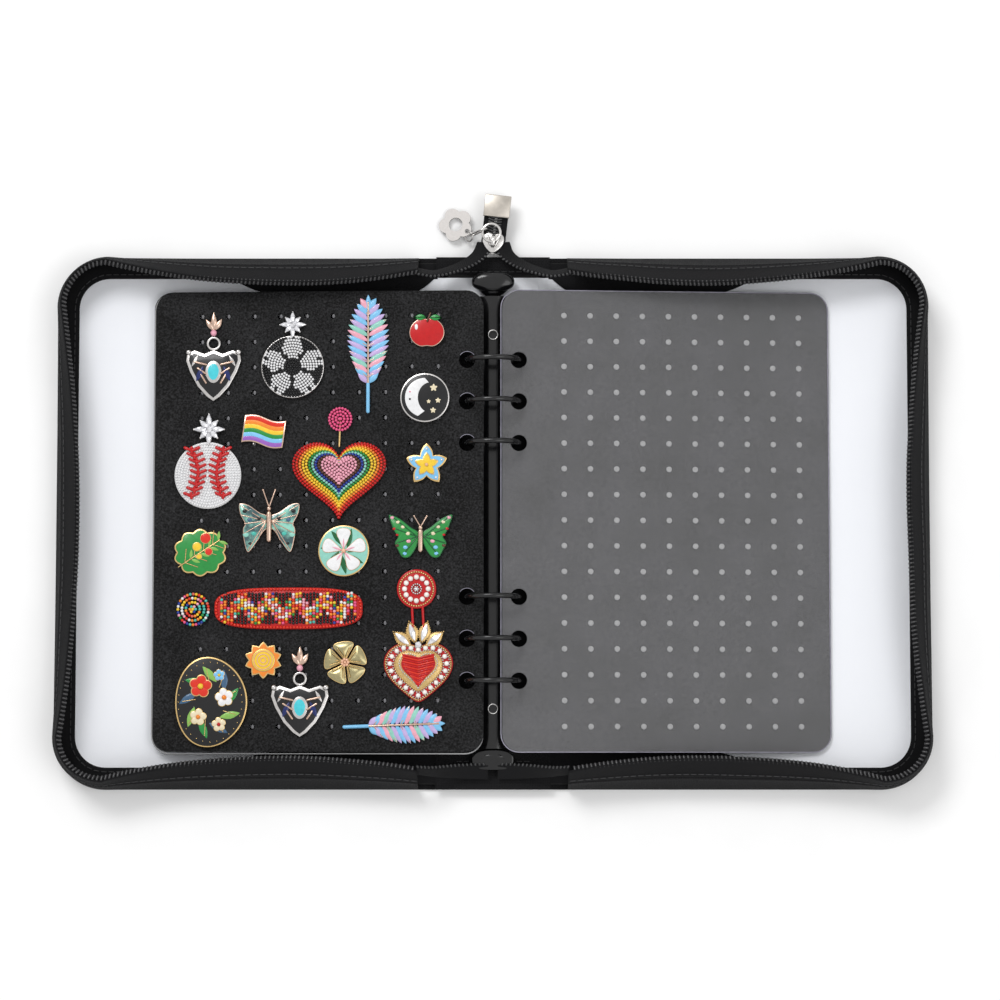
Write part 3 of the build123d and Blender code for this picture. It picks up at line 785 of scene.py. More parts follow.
def dome_template(outline, z0, height):
    """A domed fill over an outline, drawn in towards its middle."""
    cx = sum(p[0] for p in outline) / len(outline)
    cy = sum(p[1] for p in outline) / len(outline)
    rows = []
    for k in range(6):
        keep = 1 - k / 5 * 0.96
        z = z0 + height * (1 - keep ** 2.0)
        rows.append([vec(cx + (x - cx) * keep, cy + (y - cy) * keep, z) for x, y in outline])
    return solid(rows)


def torus_template(r, wire):
    """A ring of round wire in the XY plane."""
    rows = []
    for x, y in fan(40):
        out = vec(x, y)
        rows.append([out * r + out * (wire * c) + vec(0, 0, wire * s) for c, s in fan(12)])
    return solid(rows, closed=True)


def rounded(w, h, power, count=64):
    """A rounded box or ellipse, by the power of its formula."""
    return [(w / 2 * copysign(abs(c) ** (2 / power), c),
        h / 2 * copysign(abs(s) ** (2 / power), s)) for c, s in fan(count)]


# Ring mechanism
assign(gloss_black, "ring_housing", "left_carrier", "right_carrier", "left_half_rings",
    "right_half_rings", "rivets")
assign(board_card, "spine_board", "left_cover_board", "right_cover_board")
assign(black_rubber, "pin_clutches")
lever_rings = {
    "head": ("head_lever_dome", "top_lever", 12, rounded(19.6 * mm, 9 * mm, 2.5),
        [(6.6, 0.55, -1), (7.4, 0.9, -0.2), (8.3, 1, 0), (9.2, 0.97, 0.1), (10, 0.86, 0.3),
        (10.6, 0.66, 0.5), (10.95, 0.4, 0.6), (11.05, 0.1, 0.6)]),
    "foot": ("foot_lever_tab", "bottom_lever", 13.4, rounded(19.4 * mm, 9 * mm, 3.2),
        [(7, 0.6, -0.8), (7.3, 0.94, 0), (7.9, 1, 0), (8.7, 0.99, 0), (9.1, 0.94, 0),
        (9.2, 0.87, 0), (9.05, 0.7, 0), (9, 0.1, 0)])}
neck_rings = ((99.4, 3, 4.9, 5.9), (103.6, 3, 4.9, 6.4), (104.6, 4.6, 5.2, 7.8),
    (106.4, 6.8, 6.4, 9.2), (108, 6.4, 7.2, 9.4))
neck_shape = ((-1, 0), (1, 0), (1, 0.5), (0.8, 0.85), (0.4, 1), (-0.4, 1), (-0.8, 0.85),
    (-1, 0.5))
for word, end in ends:
    name, node, seat, outline, levels = lever_rings[word]
    y0 = end * (half_d - seat * mm)
    rows = [[vec(x * grow, y0 + end * (y * grow + shift * mm), z * mm) for x, y in outline]
        for z, grow, shift in levels]
    if end < 0:
        rows = [list(reversed(row)) for row in rows]
    lever = outward(new_object(name, *solid(rows), gloss_black))
    put(lever, word + "_lever", node)
for word, end in ends:
    rows = [[vec(x * half * mm, end * y * mm, (z0 + (z1 - z0) * up) * mm)
        for x, up in neck_shape] for y, half, z0, z1 in neck_rings]
    put(outward(new_object(word + "_lever_neck", *solid(rows), gloss_black)), word + "_lever")
for word, end in ends:
    place = move(0, (low("rivets").y + 2.5 * mm) * -end, high("rivets").z)
    put(heaped("rivet_" + word + "_rim", nickel, (torus_template(2.15 * mm, 0.3 * mm), place)),
        "spine")

# Zip tail, end clamp, slider and charm
tail = move(0, 127.8 * mm, 6 * mm) @ Matrix.Rotation(radians(-6.6), 4, "Z")
tail_across = tail.to_3x3()
heap = Heap()
tail_tooth = capsule_template(3.5 * mm, 0.5 * mm)
for n in range(17):
    y = (-1.5 + 1.25 * n) * mm
    for side, _ in sides:
        place = vec(side * 1.55 * mm - 0.3 * mm, y + (0.3 * mm if side > 0 else 0), 2.25 * mm)
        heap.add(tail_tooth, tail @ frame_at(place, vec(side, 0.28, -0.12)))
put(heap.build("tail_coil", nylon), "spine", "tail_teeth")
for side, word in sides:
    line = [tail @ vec(side * 3.05 * mm, (-4.2 + 2.45 * k) * mm, 0.9 * mm) for k in range(11)]
    wide = [tail_across @ vec(side, 0, -0.1)] * len(line)
    put(ribbon(word + "_tail_tape", line, wide, 4.9 * mm, 1 * mm, tape_cloth), "spine",
        "tail_tapes")

clamp_outline = in_mm((-6, 12.6), (6, 12.6), (6, 22.3), (-6, 22.3))
lip = capsule_template(12 * mm, 0.35 * mm)
put(crisp(heaped("end_clamp", brushed,
    (slab_template(clamp_outline, 0, 3.3 * mm, 0.35 * mm), tail),
    (lip, tail @ move(0, 12.65 * mm, 3.05 * mm)), (lip, tail @ move(0, 22.2 * mm, 2.9 * mm)))),
    "spine", "zip_end_clamp")

plate_shares = [(-0.5, 0.2), (-0.47, 0.34), (-0.38, 0.45), (-0.25, 0.5), (-0.12, 0.47),
    (0, 0.38), (0.12, 0.47), (0.25, 0.5), (0.38, 0.45), (0.47, 0.34), (0.5, 0.2),
    (0.49, 0.02), (0.42, -0.14), (0.3, -0.3), (0.14, -0.44), (0, -0.5), (-0.14, -0.44),
    (-0.3, -0.3), (-0.42, -0.14), (-0.49, 0.02)]
plate = [(a * 9.8 * mm, b * 9.4 * mm) for a, b in plate_shares]
horn, post = capsule_template(5.4 * mm, 0.75 * mm), capsule_template(2.4 * mm, 0.4 * mm)
horn_places = [tail @ frame_at(vec(side * 1.9 * mm, 0.9 * mm, 4.05 * mm), vec(side * -0.42, -1))
    for side, _ in sides]
put(crisp(heaped("slider_shield", nickel,
    (slab_template(plate, 3.1 * mm, 4.1 * mm, 0.35 * mm), tail),
    (slab_template(plate, -1.3 * mm, -0.3 * mm, 0.2 * mm), tail),
    (horn, horn_places[0]), (horn, horn_places[1]),
    (post, tail @ frame_at((0, -3.5 * mm, 1.9 * mm), (0, 0, 1), (1, 0, 0)))), 55),
    "slider", "slider_body")
bow = in_mm((0, -2, 4), (0, -1.8, 5.4), (0, -0.8, 6.5), (0, 0.6, 6.8), (0, 2, 6.5),
    (0, 2.9, 5.4), (0, 3.1, 4))
bow = smooth_line([tail @ Vector(p) for p in bow], 5)
put(ribbon("slider_bow", bow, [tail_across @ vec(1, 0)] * len(bow), 1.6 * mm, 0.8 * mm, nickel),
    "slider", "slider_bridge")
assign(nickel, "pull_ring", "chain_link", "jump_ring")
assign(charm_steel, "flower_charm")


# Pages
page_start, page_w, page_h, page_corner = 4.25 * mm, 150 * mm, 210 * mm, 8 * mm
page_top = 0.5 * mm
page_drop = {-1: -7.3 * mm, 1: 11.3 * mm}
ring_r, page_hole_r, dot_r = 11.75 * mm, 3.75 * mm, 1.35 * mm
film_t, film_peek = 0.3 * mm, 1 * mm
film_low = page_top + 0.1 * mm
ring_places = [side * hole * mm for side in (-1, 1) for hole in (35, 54, 73)]
dot_us = [page_start + (21 + 12 * n) * mm for n in range(10)]
dot_vs = [(11.7 * n - 93.6) * mm for n in range(17)]
grid_shift = {1: 7.2 * mm, -1: 0}

# Each page's own frame: its plane falls from the rings to its outer edge
page_at = {side: move(0, 0, ring_axis_z)
    @ Matrix.Rotation(asin(drop / (page_start + page_w)), 4, "Y")
    for side, drop in page_drop.items()}
left_page = page_at[-1]

film = Surface("frosted_film")
haze = film.noise(film.place("Object"), 60.0)
film_tint = (0.5, 0.49, 0.56)
film.set(Base_Color=film.ramp(haze, (0.3, tuple(0.9 * c for c in film_tint)), (0.7, film_tint)),
    Alpha=film.math("MULTIPLY", haze, 0.05), Roughness=0.3)
# The film's own pale edge colour, also used for the painted highlights at the left ring holes.
film_rim = grained("film_rim", (0.22, 0.21, 0.27), (0.36, 0.35, 0.42), 500.0, 0.35, 0.02 * mm)
pale_dot = grained("pale_dot", (0.28, 0.28, 0.285), (0.35, 0.35, 0.355), 900.0, 0.5, 0.03 * mm)
# Painted light and shade: a dim grey for the backing seen partly lit through the left page's
# holes.
half_lit_hole_dot = grained("half_lit_hole_dot", (0.08, 0.08, 0.085), (0.16, 0.16, 0.17), 900.0, 0.5, 0.03 * mm)


def oval(w, h, x=0.0, y=0.0, count=56):
    return [(x + w / 2 * c, y + h / 2 * s) for c, s in fan(count)]


def page_line(side, off, z):
    """Points round the page's edge, moved outward by a distance."""
    x0, x1 = page_start - off, page_start + page_w + off
    y1, r = page_h / 2 + off, page_corner + off
    points = []
    for cx, cy, start in ((x1 - r, y1 - r, 0), (x0 + r, y1 - r, 90), (x0 + r, r - y1, 180),
            (x1 - r, r - y1, 270)):
        for turn in (radians(start + 90 * k / 8) for k in range(9)):
            points.append(vec(side * (cx + r * cos(turn)), cy + r * sin(turn), z))
    return points


def holed_sheet(name, side, start, z0, z1, material, *nodes):
    """A flat page or film with a round-cornered outline, ring holes and the grid of holes."""
    curve = bpy.data.curves.new(name, "CURVE")
    curve.dimensions = "2D"
    curve.fill_mode = "BOTH"
    curve.extrude = (z1 - z0) / 2
    loops = [[(p.x - side * (page_start - start), p.y) for p in page_line(side, 0, 0)]]
    holes = [(side * ring_r, v, page_hole_r, 32) for v in ring_places]
    holes += [(side * (u + grid_shift[side]), v, dot_r, 16) for u in dot_us for v in dot_vs]
    loops += [[(u + r * c, v + r * s) for c, s in fan(count)] for u, v, r, count in holes]
    for loop in loops:
        spline = curve.splines.new("POLY")
        spline.points.add(len(loop) - 1)
        for point, (u, v) in zip(spline.points, loop):
            point.co = (u, v, 0, 1)
        spline.use_cyclic_u = True
    drawn = bpy.data.objects.new(name + "_line", curve)
    data = bpy.data.meshes.new_from_object(drawn)
    bpy.data.objects.remove(drawn)
    data.transform(page_at[side] @ move(0, 0, (z0 + z1) / 2))
    mesh = bmesh.new()
    mesh.from_mesh(data)
    bmesh.ops.remove_doubles(mesh, verts=mesh.verts, dist=0.01 * mm)
    mesh.to_mesh(data)
    mesh.free()
    data.polygons.foreach_set("use_smooth", [False] * len(data.polygons))
    data.materials.clear()
    data.materials.append(material)
    piece = outward(linked(bpy.data.objects.new(name, data)))
    put(piece, ("right" if side > 0 else "left") + "_page_set", *nodes)


def rim_tube(name, points, radius, material, side, closed=False):
    rows, last = [], len(points) - 1
    for k, here in enumerate(points):
        back = points[k - 1 if closed or k else 0]
        ahead = points[(k + 1) % (last + 1) if closed or k < last else k]
        out = (ahead - back).normalized().cross(vec(0, 0, 1))
        rows.append([page_at[side] @ (here + out * (radius * c) + vec(0, 0, radius * s))
            for c, s in fan(8)])
    put(swept(name, rows, material, closed), ("right" if side > 0 else "left") + "_page_set")


holed_sheet("left_page_sheet", -1, page_start, -page_top, page_top, black_page,
    "left_pin_page", "left_page_edge")
# Painted shade: the clear film under the left page is gloss black, so it shows dark instead of
# the lining beneath it.
holed_sheet("left_film_shade_sheet", -1, page_start + film_peek, -film_low - film_t, -film_low,
    gloss_black, "left_clear_film")
holed_sheet("right_page_sheet", 1, page_start, -page_top, page_top, grey_page,
    "right_pin_page", "right_page_edge")
holed_sheet("right_film_sheet", 1, page_start - film_peek, film_low, film_low + film_t,
    film.made, "right_frosted_film")
for name, side, off, z, shift, radius, material in (
        ("right_film_rim", 1, 0.15, 0.62, (-0.5, 0), 0.22, film_rim),
        ("left_film_rim", -1, 0.1, -0.5, (-0.5, -0.75), 0.32, pale_dot)):
    edge = [p + vec(*shift) * mm for p in page_line(side, off * mm, z * mm)]
    rim_tube(name, edge, radius * mm, material, side, True)
# Painted highlights: thin pale arcs lying on the left page along the edge of each ring hole.
glint_r = 3.9 * mm
for k, v in enumerate(ring_places):
    arc = [vec(-ring_r + glint_r * cos(a), v + glint_r * sin(a), page_top)
        for a in (radians(35 + 11 * n) for n in range(11))]
    rim_tube(f"left_hole_glint_{k}", arc, 0.14 * mm, film_rim, -1)

disc = slab_template(oval(2.6 * mm, 2.6 * mm, count=20), 0.1 * mm, 0.74 * mm, 0.1 * mm)
speck = slab_template(oval(1.24 * mm, 1.9 * mm, count=16), 0.05 * mm, 0.35 * mm, 0.08 * mm)
# On the left page each speck sits off its hole's middle, so the rest of the hole stays dark as
# painted shadow.
for side, name, template, shift, material in ((1, "right", disc, grid_shift[1], pale_dot),
        (-1, "left", speck, -0.4 * mm, half_lit_hole_dot)):
    dots = [(template, page_at[side] @ move(side * (u + shift), v, 0))
        for u in dot_us for v in dot_vs]
    put(heaped(name + "_page_dots", material, *dots), name + "_page_set")


# Pins. Each is drawn in the left page's own frame, in millimetres from its middle
paints = {
    "gold": metal("gold", (0.66, 0.46, 0.2), 0.26),
    "rose_gold": metal("rose_gold", (0.6, 0.43, 0.34), 0.24),
    "old_gold": metal("old_gold", (0.4, 0.35, 0.19), 0.3),
    "silver": metal("silver", (0.6, 0.58, 0.565), 0.24),
    "nickel": nickel,
    "crystal": grained("crystal", (0.5, 0.5, 0.52), (0.92, 0.92, 0.95), 700.0, 0.08,
        0.05 * mm, coat=1.0, metallic=0.45),
    "pearl": grained("pearl", (0.82, 0.78, 0.72), (0.92, 0.9, 0.86), 200.0, 0.2, 0.01 * mm,
        coat=0.8),
    "abalone": grained("abalone", (0.005, 0.05, 0.06), (0.25, 0.62, 0.5), 160.0, 0.15,
        0.05 * mm, coat=1.0, spread=(0.44, 0.6))}
for name, colour in {
        "red": (0.52, 0.006, 0.008), "scarlet": (0.7, 0.03, 0.012),
        "coral": (0.72, 0.13, 0.09), "steel": (0.05, 0.12, 0.22), "orange": (0.88, 0.26, 0.03),
        "yellow": (0.9, 0.6, 0.04), "green": (0.02, 0.27, 0.05), "leaf": (0.008, 0.11, 0.03),
        "lime": (0.25, 0.5, 0.1), "teal": (0.08, 0.5, 0.42), "mint": (0.28, 0.62, 0.52),
        "sky": (0.22, 0.55, 0.85), "turquoise": (0.07, 0.6, 0.68), "blue": (0.02, 0.05, 0.32),
        "navy": (0.01, 0.02, 0.12), "violet": (0.32, 0.12, 0.5), "lilac": (0.55, 0.42, 0.72),
        "pink": (0.85, 0.4, 0.5), "rose": (0.8, 0.1, 0.25), "peach": (0.85, 0.5, 0.33),
        "white": (0.85, 0.85, 0.86), "cream": (0.82, 0.72, 0.5),
        "black": (0.006, 0.006, 0.007), "brown": (0.1, 0.04, 0.02)}.items():
    paints[name] = enamel("enamel_" + name, colour)

# A pin's middle, width and height, as shares of the page's width and height
pin_shares = {
    "upper_drop": (0.823, 0.36, 0.173, 0.2), "lower_drop": (0.554, -0.369, 0.179, 0.2),
    "football": (0.581, 0.334, 0.191, 0.139), "football_gem": (0.581, 0.426, 0.072, 0.056),
    "baseball": (0.838, 0.098, 0.203, 0.148), "baseball_gem": (0.835, 0.198, 0.084, 0.061),
    "tall_feather": (0.351, 0.36, 0.11, 0.26), "wide_feather": (0.271, -0.443, 0.31, 0.07),
    "apple": (0.172, 0.412, 0.107, 0.076), "moon": (0.178, 0.265, 0.15, 0.107),
    "flag": (0.668, 0.193, 0.125, 0.07), "rainbow_heart": (0.438, 0.104, 0.286, 0.187),
    "heart_bead": (0.435, 0.219, 0.075, 0.054), "star": (0.172, 0.119, 0.13, 0.093),
    "shell_butterfly": (0.65, -0.002, 0.185, 0.135),
    "green_butterfly": (0.19, -0.037, 0.191, 0.096),
    "white_flower": (0.423, -0.067, 0.155, 0.111),
    "gold_flower": (0.417, -0.308, 0.125, 0.089), "leaf": (0.859, -0.07, 0.164, 0.104),
    "bead_bar": (0.59, -0.191, 0.45, 0.1), "bar_bead": (0.879, -0.193, 0.101, 0.074),
    "jewel_heart": (0.196, -0.3, 0.209, 0.175), "jewel_bead": (0.202, -0.15, 0.119, 0.087),
    "garden_disc": (0.825, -0.393, 0.225, 0.2), "sun": (0.665, -0.303, 0.115, 0.08),
}
ball, fine_ball = ball_template(1), ball_template(2)
spindle_shape = ((-1, 0.02), (-0.75, 0.42), (-0.35, 0.85), (0, 1), (0.35, 0.85), (0.75, 0.42),
    (1, 0.02))
spindle_template = solid([[vec(x, r * c, r * s) for c, s in fan(8)] for x, r in spindle_shape])
stones = "_stones"


class Pin:
    """One pin. Shapes are given in millimetres from its middle, with z from the page's face."""

    def __init__(self, key):
        self.key = key
        u, v, w, h = pin_shares[key]
        self.x, self.y = -(page_start + u * page_w) / mm, v * page_h / mm
        self.w, self.h = w * page_w / mm, h * page_h / mm
        self.heaps = {"": (Heap(), []), stones: (Heap(), [])}
        hole_x = -min(dot_us, key=lambda d: abs(d / mm + self.x)) / mm
        hole_y = min(dot_vs, key=lambda d: abs(d / mm - self.y)) / mm
        self.add(capsule_template(6.4, 0.6), "nickel",
            frame_at((hole_x - self.x, hole_y - self.y, -2.4), (0, 0, 1), (1, 0, 0)))

    def add(self, template, paint, matrix=Matrix.Identity(4), part=""):
        heap, names = self.heaps[part]
        if paint not in names:
            names.append(paint)
        place = left_page @ move(self.x * mm, self.y * mm, page_top) @ Matrix.Scale(mm, 4)
        heap.add(template, place @ matrix, names.index(paint))

    def slab(self, outline, paint, z0, z1, bevel=0.15):
        self.add(slab_template(outline, z0, z1, bevel), paint)

    def dome(self, outline, paint, z0, height):
        self.add(dome_template(outline, z0, height), paint)

    def plate(self, outline, rim, fill, z=1.7, edge=0.5):
        """A metal plate with a raised rim and an enamel fill just below it."""
        self.slab(outline, rim, 0.05, z, 0.25)
        self.slab(shrunk(outline, edge), fill, z - 0.2, z + 0.08, 0.1)

    def bead(self, x, y, z, r, paint, fine=False, part=""):
        self.add(fine_ball if fine else ball, paint, move(x, y, z) @ Matrix.Scale(r, 4), part)

    def beads(self, outline, pitch, z, r, paint, fine=False, x=0, y=0):
        """Beads at even steps round an outline. paint may choose by place."""
        for a, b in along_outline(outline, pitch):
            chosen = paint(a, b) if callable(paint) else paint
            self.bead(x + a, y + b, z, r, chosen, fine)

    def bar(self, a, b, r, paint):
        a, b = Vector(a), Vector(b)
        bar = capsule_template((b - a).length + 2 * r, r)
        self.add(bar, paint, frame_at((a + b) / 2, b - a))

    def spindle(self, x, y, z, length, width, turn, paint, height=None, part=""):
        """A pointed petal or a cut stone, long along its turn."""
        matrix = move(x, y, z) @ Matrix.Rotation(turn, 4, "Z") @ Matrix.Diagonal(
            (length / 2, width / 2, height or width / 2.6, 1))
        self.add(spindle_template, paint, matrix, part)

    def at(self, share, turn):
        """A place at a share of the pin's size, in a direction."""
        return self.w * share * cos(turn), self.h * share * sin(turn)

    def finish(self, node):
        for part, (heap, names) in self.heaps.items():
            if heap.verts:
                piece = outward(heap.build("pin_" + self.key + part,
                    *(paints[name] for name in names), smooth=not part))
                put(piece, "left_page_set", *([] if part else [node]))
                if not part:
                    crisp(piece, 55)


def new_pin(key):
    pin = Pin(key)
    return pin, pin.w, pin.h


def circle(w, x=0.0, y=0.0, count=56):
    return oval(w, w, x, y, count)


def polar(w, h, radius_at, x=0.0, y=0.0, count=120):
    return [(x + w / 2 * radius_at(a) * cos(a), y + h / 2 * radius_at(a) * sin(a))
        for a in angles(count)]


def star_points(w, h, number, depth, x=0.0, y=0.0):
    def at(a):
        share = ((a - pi / 2) * number / (2 * pi)) % 1
        return 1 - depth * (1 - abs(1 - 2 * share))
    return polar(w, h, at, x, y, 20 * number)


def heart_points(w, h, x=0.0, y=0.0):
    points = []
    for a in angles(96):
        rise = 13 * cos(a) - 5 * cos(2 * a) - 2 * cos(3 * a) - cos(4 * a)
        points.append((x + w / 2 * sin(a) ** 3, y + h / 2 * rise / 16))
    return points


def along_outline(outline, pitch):
    """Points at even steps round an outline."""
    lengths = [dist(a, b) for a, b in zip(outline, outline[1:] + outline[:1])]
    total = sum(lengths)
    count = max(1, round(total / pitch))
    made, k, travelled = [], 0, 0.0
    for n in range(count):
        due = total * n / count
        while travelled + lengths[k] < due:
            travelled += lengths[k]
            k += 1
        share = (due - travelled) / lengths[k]
        a, b = outline[k], outline[(k + 1) % len(outline)]
        made.append((a[0] + (b[0] - a[0]) * share, a[1] + (b[1] - a[1]) * share))
    return made


def cluster(pin, x, y, size):
    """A star of cut stones round a middle stone."""
    for k, turn in enumerate(angles(8, pi / 2)):
        long = size * (0.5 if k % 2 == 0 else 0.4)
        c, s = cos(turn), sin(turn)
        pin.spindle(x + c * long * 0.56, y + s * long * 0.56, 2.0, long * 0.95, size * 0.2,
            turn, "crystal", part=stones)
        pin.bead(x + c * long, y + s * long, 1.7, size * 0.045, "silver")
    pin.bead(x, y, 2.5, size * 0.13, "crystal", part=stones)


def other(key, near):
    """A second part's middle, in millimetres from a pin's own middle, and its width."""
    u, v, w, _ = pin_shares[key]
    return (-(page_start + u * page_w) / mm - near.x, v * page_h / mm - near.y, w * page_w / mm)


drop_shares = [(0, 0.06), (0.16, 0.02), (0.34, 0.06), (0.47, 0.02), (0.49, -0.06),
    (0.42, -0.18), (0.28, -0.34), (0.12, -0.45), (0, -0.5)]
for key in ("upper_drop", "lower_drop"):
    pin, w, h = new_pin(key)
    outline = [(x * w, y * h) for x, y in drop_shares]
    outline += [(-x * w, y * h) for x, y in reversed(drop_shares[1:-1])]
    pin.slab(outline, "silver", 0.05, 1.5, 0.4)
    pin.slab(shrunk(outline, 1.5), "black", 1.4, 1.58, 0.08)
    for side in (-1, 1):
        for k in range(1, 4):
            pin.bar((side * 3.4, h * (0.0 - 0.1 * k), 1.6),
                (side * w * (0.4 - 0.06 * k), h * (0.0 - 0.07 * k), 1.6), 0.55, "rose_gold")
    tear = polar(7.4, 12, lambda a: 1 - 0.3 * max(0, sin(a)), 0, -h * 0.16)
    pin.slab(tear, "silver", 1.3, 1.8, 0.2)
    pin.dome(shrunk(tear, 0.7), "turquoise", 1.66, 0.5)
    for side in (-1, 1):
        pin.spindle(side * 6.2, -h * 0.2, 1.75, 7.6, 2.6, radians(90 + side * 24), "navy",
            0.45)
        pin.spindle(side * 8.6, -h * 0.06, 1.6, 6.0, 1.6, radians(90 + side * 30), "silver",
            0.4)
        pin.bead(side * 0.44 * w, 0.035 * h, 1.2, 1.5, "silver", True)
    pin.add(torus_template(2.7, 0.62), "silver", move(0, h * 0.13, 1.2))
    for turn, long in ((90, 8.6), (56, 6.6), (124, 6.6)):
        a = radians(turn)
        pin.spindle(cos(a) * long / 2, h * 0.27 + sin(a) * long / 2, 1.2, long, 2.9, a,
            "rose_gold", 0.8)
    pin.bead(0, h * 0.245, 1.6, 1.5, "pink", True)
    pin.finish("drop_pins")


def football_paint(x, y):
    """Dark pentagons: one in the middle and five at the rim, on white."""
    r, fifths = hypot(x, y), atan2(x, y) / (2 * pi) * 5
    near = ((fifths + 0.5) % 1 - 0.5) * 2 * pi / 5
    edge = (fifths % 1 - 0.5) * 2 * pi / 5
    across = abs(r * sin(edge))
    dark = (r * cos(near) < 3.9 or (r * cos(edge) > 8.9 + 0.7 * across and across < 5.2)
        or (across < 0.65 and r < 10.2) or (abs(r * sin(near)) < 0.6 and r > 11.4))
    return "black" if dark else "white"


pin = Pin("football")
pin.slab(circle(pin.w), "black", 0.05, 1.4, 0.3)
pin.add(torus_template(pin.w / 2 - 0.3, 0.42), "silver", move(0, 0, 1.4))
for ring in range(11):
    pin.beads(circle(2 * (pin.w / 2 - 0.75 - 1.28 * ring)), 1.24, 1.75, 0.66, football_paint)
x, y, size = other("football_gem", pin)
pin.bar((0, pin.h / 2 - 0.6, 1), (0, y - 3, 1), 0.5, "silver")
cluster(pin, x, y, size * 1.08)
pin.finish("ball_pins")

pin = Pin("baseball")
pin.slab(circle(pin.w), "white", 0.05, 1.5, 0.3)
for ring in range(12):
    pin.beads(circle(2 * max(pin.w / 2 - 0.8 - 1.28 * ring, 0.5)), 1.24, 1.75, 0.62, "white")
for side in (-1, 1):
    for k in range(9):
        y = -10.4 + 2.6 * k
        x = side * (4.2 + 0.028 * y * y)
        pin.bar((x, y, 2.3), (x + side * 0.1, y + 2.2, 2.3), 0.7, "red")
        for out in (-1, 1):
            pin.bar((x, y + 0.8, 2.3), (x + out * 3.2, y + 2.2, 2.2), 0.72, "red")
x, y, size = other("baseball_gem", pin)
pin.bar((x, pin.h / 2 - 0.6, 1), (x, y - 3, 1), 0.5, "gold")
cluster(pin, x, y, size * 1.1)
pin.finish("ball_pins")

tints = ("sky", "lilac", "sky", "pink", "mint", "lilac")
for key, length, width, degrees in (("tall_feather", 54.4, 16.4, 90),
        ("wide_feather", 46.4, 14.6, 2)):
    pin = Pin(key)
    turn = radians(degrees)
    along = vec(cos(turn), sin(turn))
    across = vec(-along.y, along.x)
    for k in range(15):
        share = k / 14
        reach = width * 0.56 * sin(pi * (0.12 + 0.8 * share)) ** 0.7
        root = along * (length * (-0.24 + 0.62 * share))
        for side in (-1, 1):
            tip = root + along * length * 0.09 + across * side * reach
            middle = (root + tip) / 2
            pin.spindle(middle.x, middle.y, 1.0 + 0.02 * k, (tip - root).length * 1.1, 3.1,
                atan2(*(tip - root).yx), tints[(k + (side > 0)) % 6], 0.65)
            if k % 3 == 1:
                pin.bar(root + vec(0, 0, 1.5), tip + vec(0, 0, 1.25), 0.24, "rose_gold")
    pin.spindle(along.x * length * 0.42, along.y * length * 0.42, 1.2, length * 0.17, 3, turn,
        "sky", 0.7)
    for z, end, end_z, r, paint in ((1.3, 0.44, 1.5, 0.5, "rose_gold"),
            (1.1, -0.25, 1.2, 0.85, "sky")):
        pin.bar(along * (length * -0.48) + vec(0, 0, z),
            along * (length * end) + vec(0, 0, end_z), r, paint)
    pin.finish("feather_pins")

pin, w, h = new_pin("apple")
body = polar(w, h * 0.88, lambda a: 1 - 0.11 * abs(sin(a)) ** 26, 0, -h * 0.06)
pin.plate(body, "rose_gold", "red", 1.7, 0.35)
pin.bar((0.2, h * 0.26, 2.1), (1.6, h * 0.49, 1.9), 0.42, "brown")
for side in (-1, 1):
    leaf = [(side * (3.4 + 3.0 * cos(a)) + 0.4, h * 0.37 + 1.5 * sin(a) ** 3 - 0.1 * side)
        for a in angles(28)]
    pin.plate(leaf if side > 0 else leaf[::-1], "leaf", "green", 1.95, 0.2)
# Painted highlight: a small white dome on the apple's upper left.
pin.dome(oval(1.4, 2.6, -w * 0.3, h * 0.1), "white", 1.86, 0.14)
pin.finish("apple_pin")

pin, w, h = new_pin("moon")
pin.plate(oval(w, h), "silver", "black", 1.7, 0.6)
crescent = [(w * 0.4 * sin(a), h * 0.4 * cos(a)) for a in
    (radians(200 + 8 * k) for k in range(21))]
crescent += [(w * (0.12 + 0.26 * sin(a)), h * 0.31 * cos(a)) for a in
    (radians(352 - 8 * k) for k in range(19))]
pin.slab(crescent, "white", 1.7, 2.1, 0.1)
for x, y, size in ((0.18, 0.2, 3.6), (0.27, -0.06, 2.6), (0.08, -0.08, 2.0),
        (0.17, -0.26, 2.8)):
    pin.slab(star_points(size, size, 5, 0.5, x * w, y * h), "cream", 1.8, 2.1, 0.08)
pin.bead(-w * 0.3, -h * 0.03, 2.05, 0.55, "black")
pin.bead(-w * 0.3, h * 0.12, 2.05, 0.4, "rose")
pin.finish("sky_pins")

pin = Pin("flag")
w, h = pin.w * 1.02, pin.h * 0.94
lean = radians(-8)


def waved(share, up):
    """A place on the waving flag, from shares along and up."""
    x, y = w * (share - 0.5), h * (up - 0.5) * 0.9 + 0.9 * sin(2 * pi * share)
    return (x * cos(lean) - y * sin(lean), x * sin(lean) + y * cos(lean))


def stripe(shares, foot, top):
    return [waved(s, foot) for s in shares] + [waved(s, top) for s in reversed(shares)]


steps = [k / 20 for k in range(21)]
pin.slab(stripe(steps, 0, 1), "rose_gold", 0.05, 1.6, 0.2)
inner = [0.03 + 0.94 * s for s in steps]
for k, paint in enumerate(("scarlet", "orange", "yellow", "green", "sky", "violet")):
    pin.slab(stripe(inner, 0.95 - 0.15 * (k + 1), 0.95 - 0.15 * k), paint, 1.5, 1.8, 0.06)
pin.finish("flag_pin")

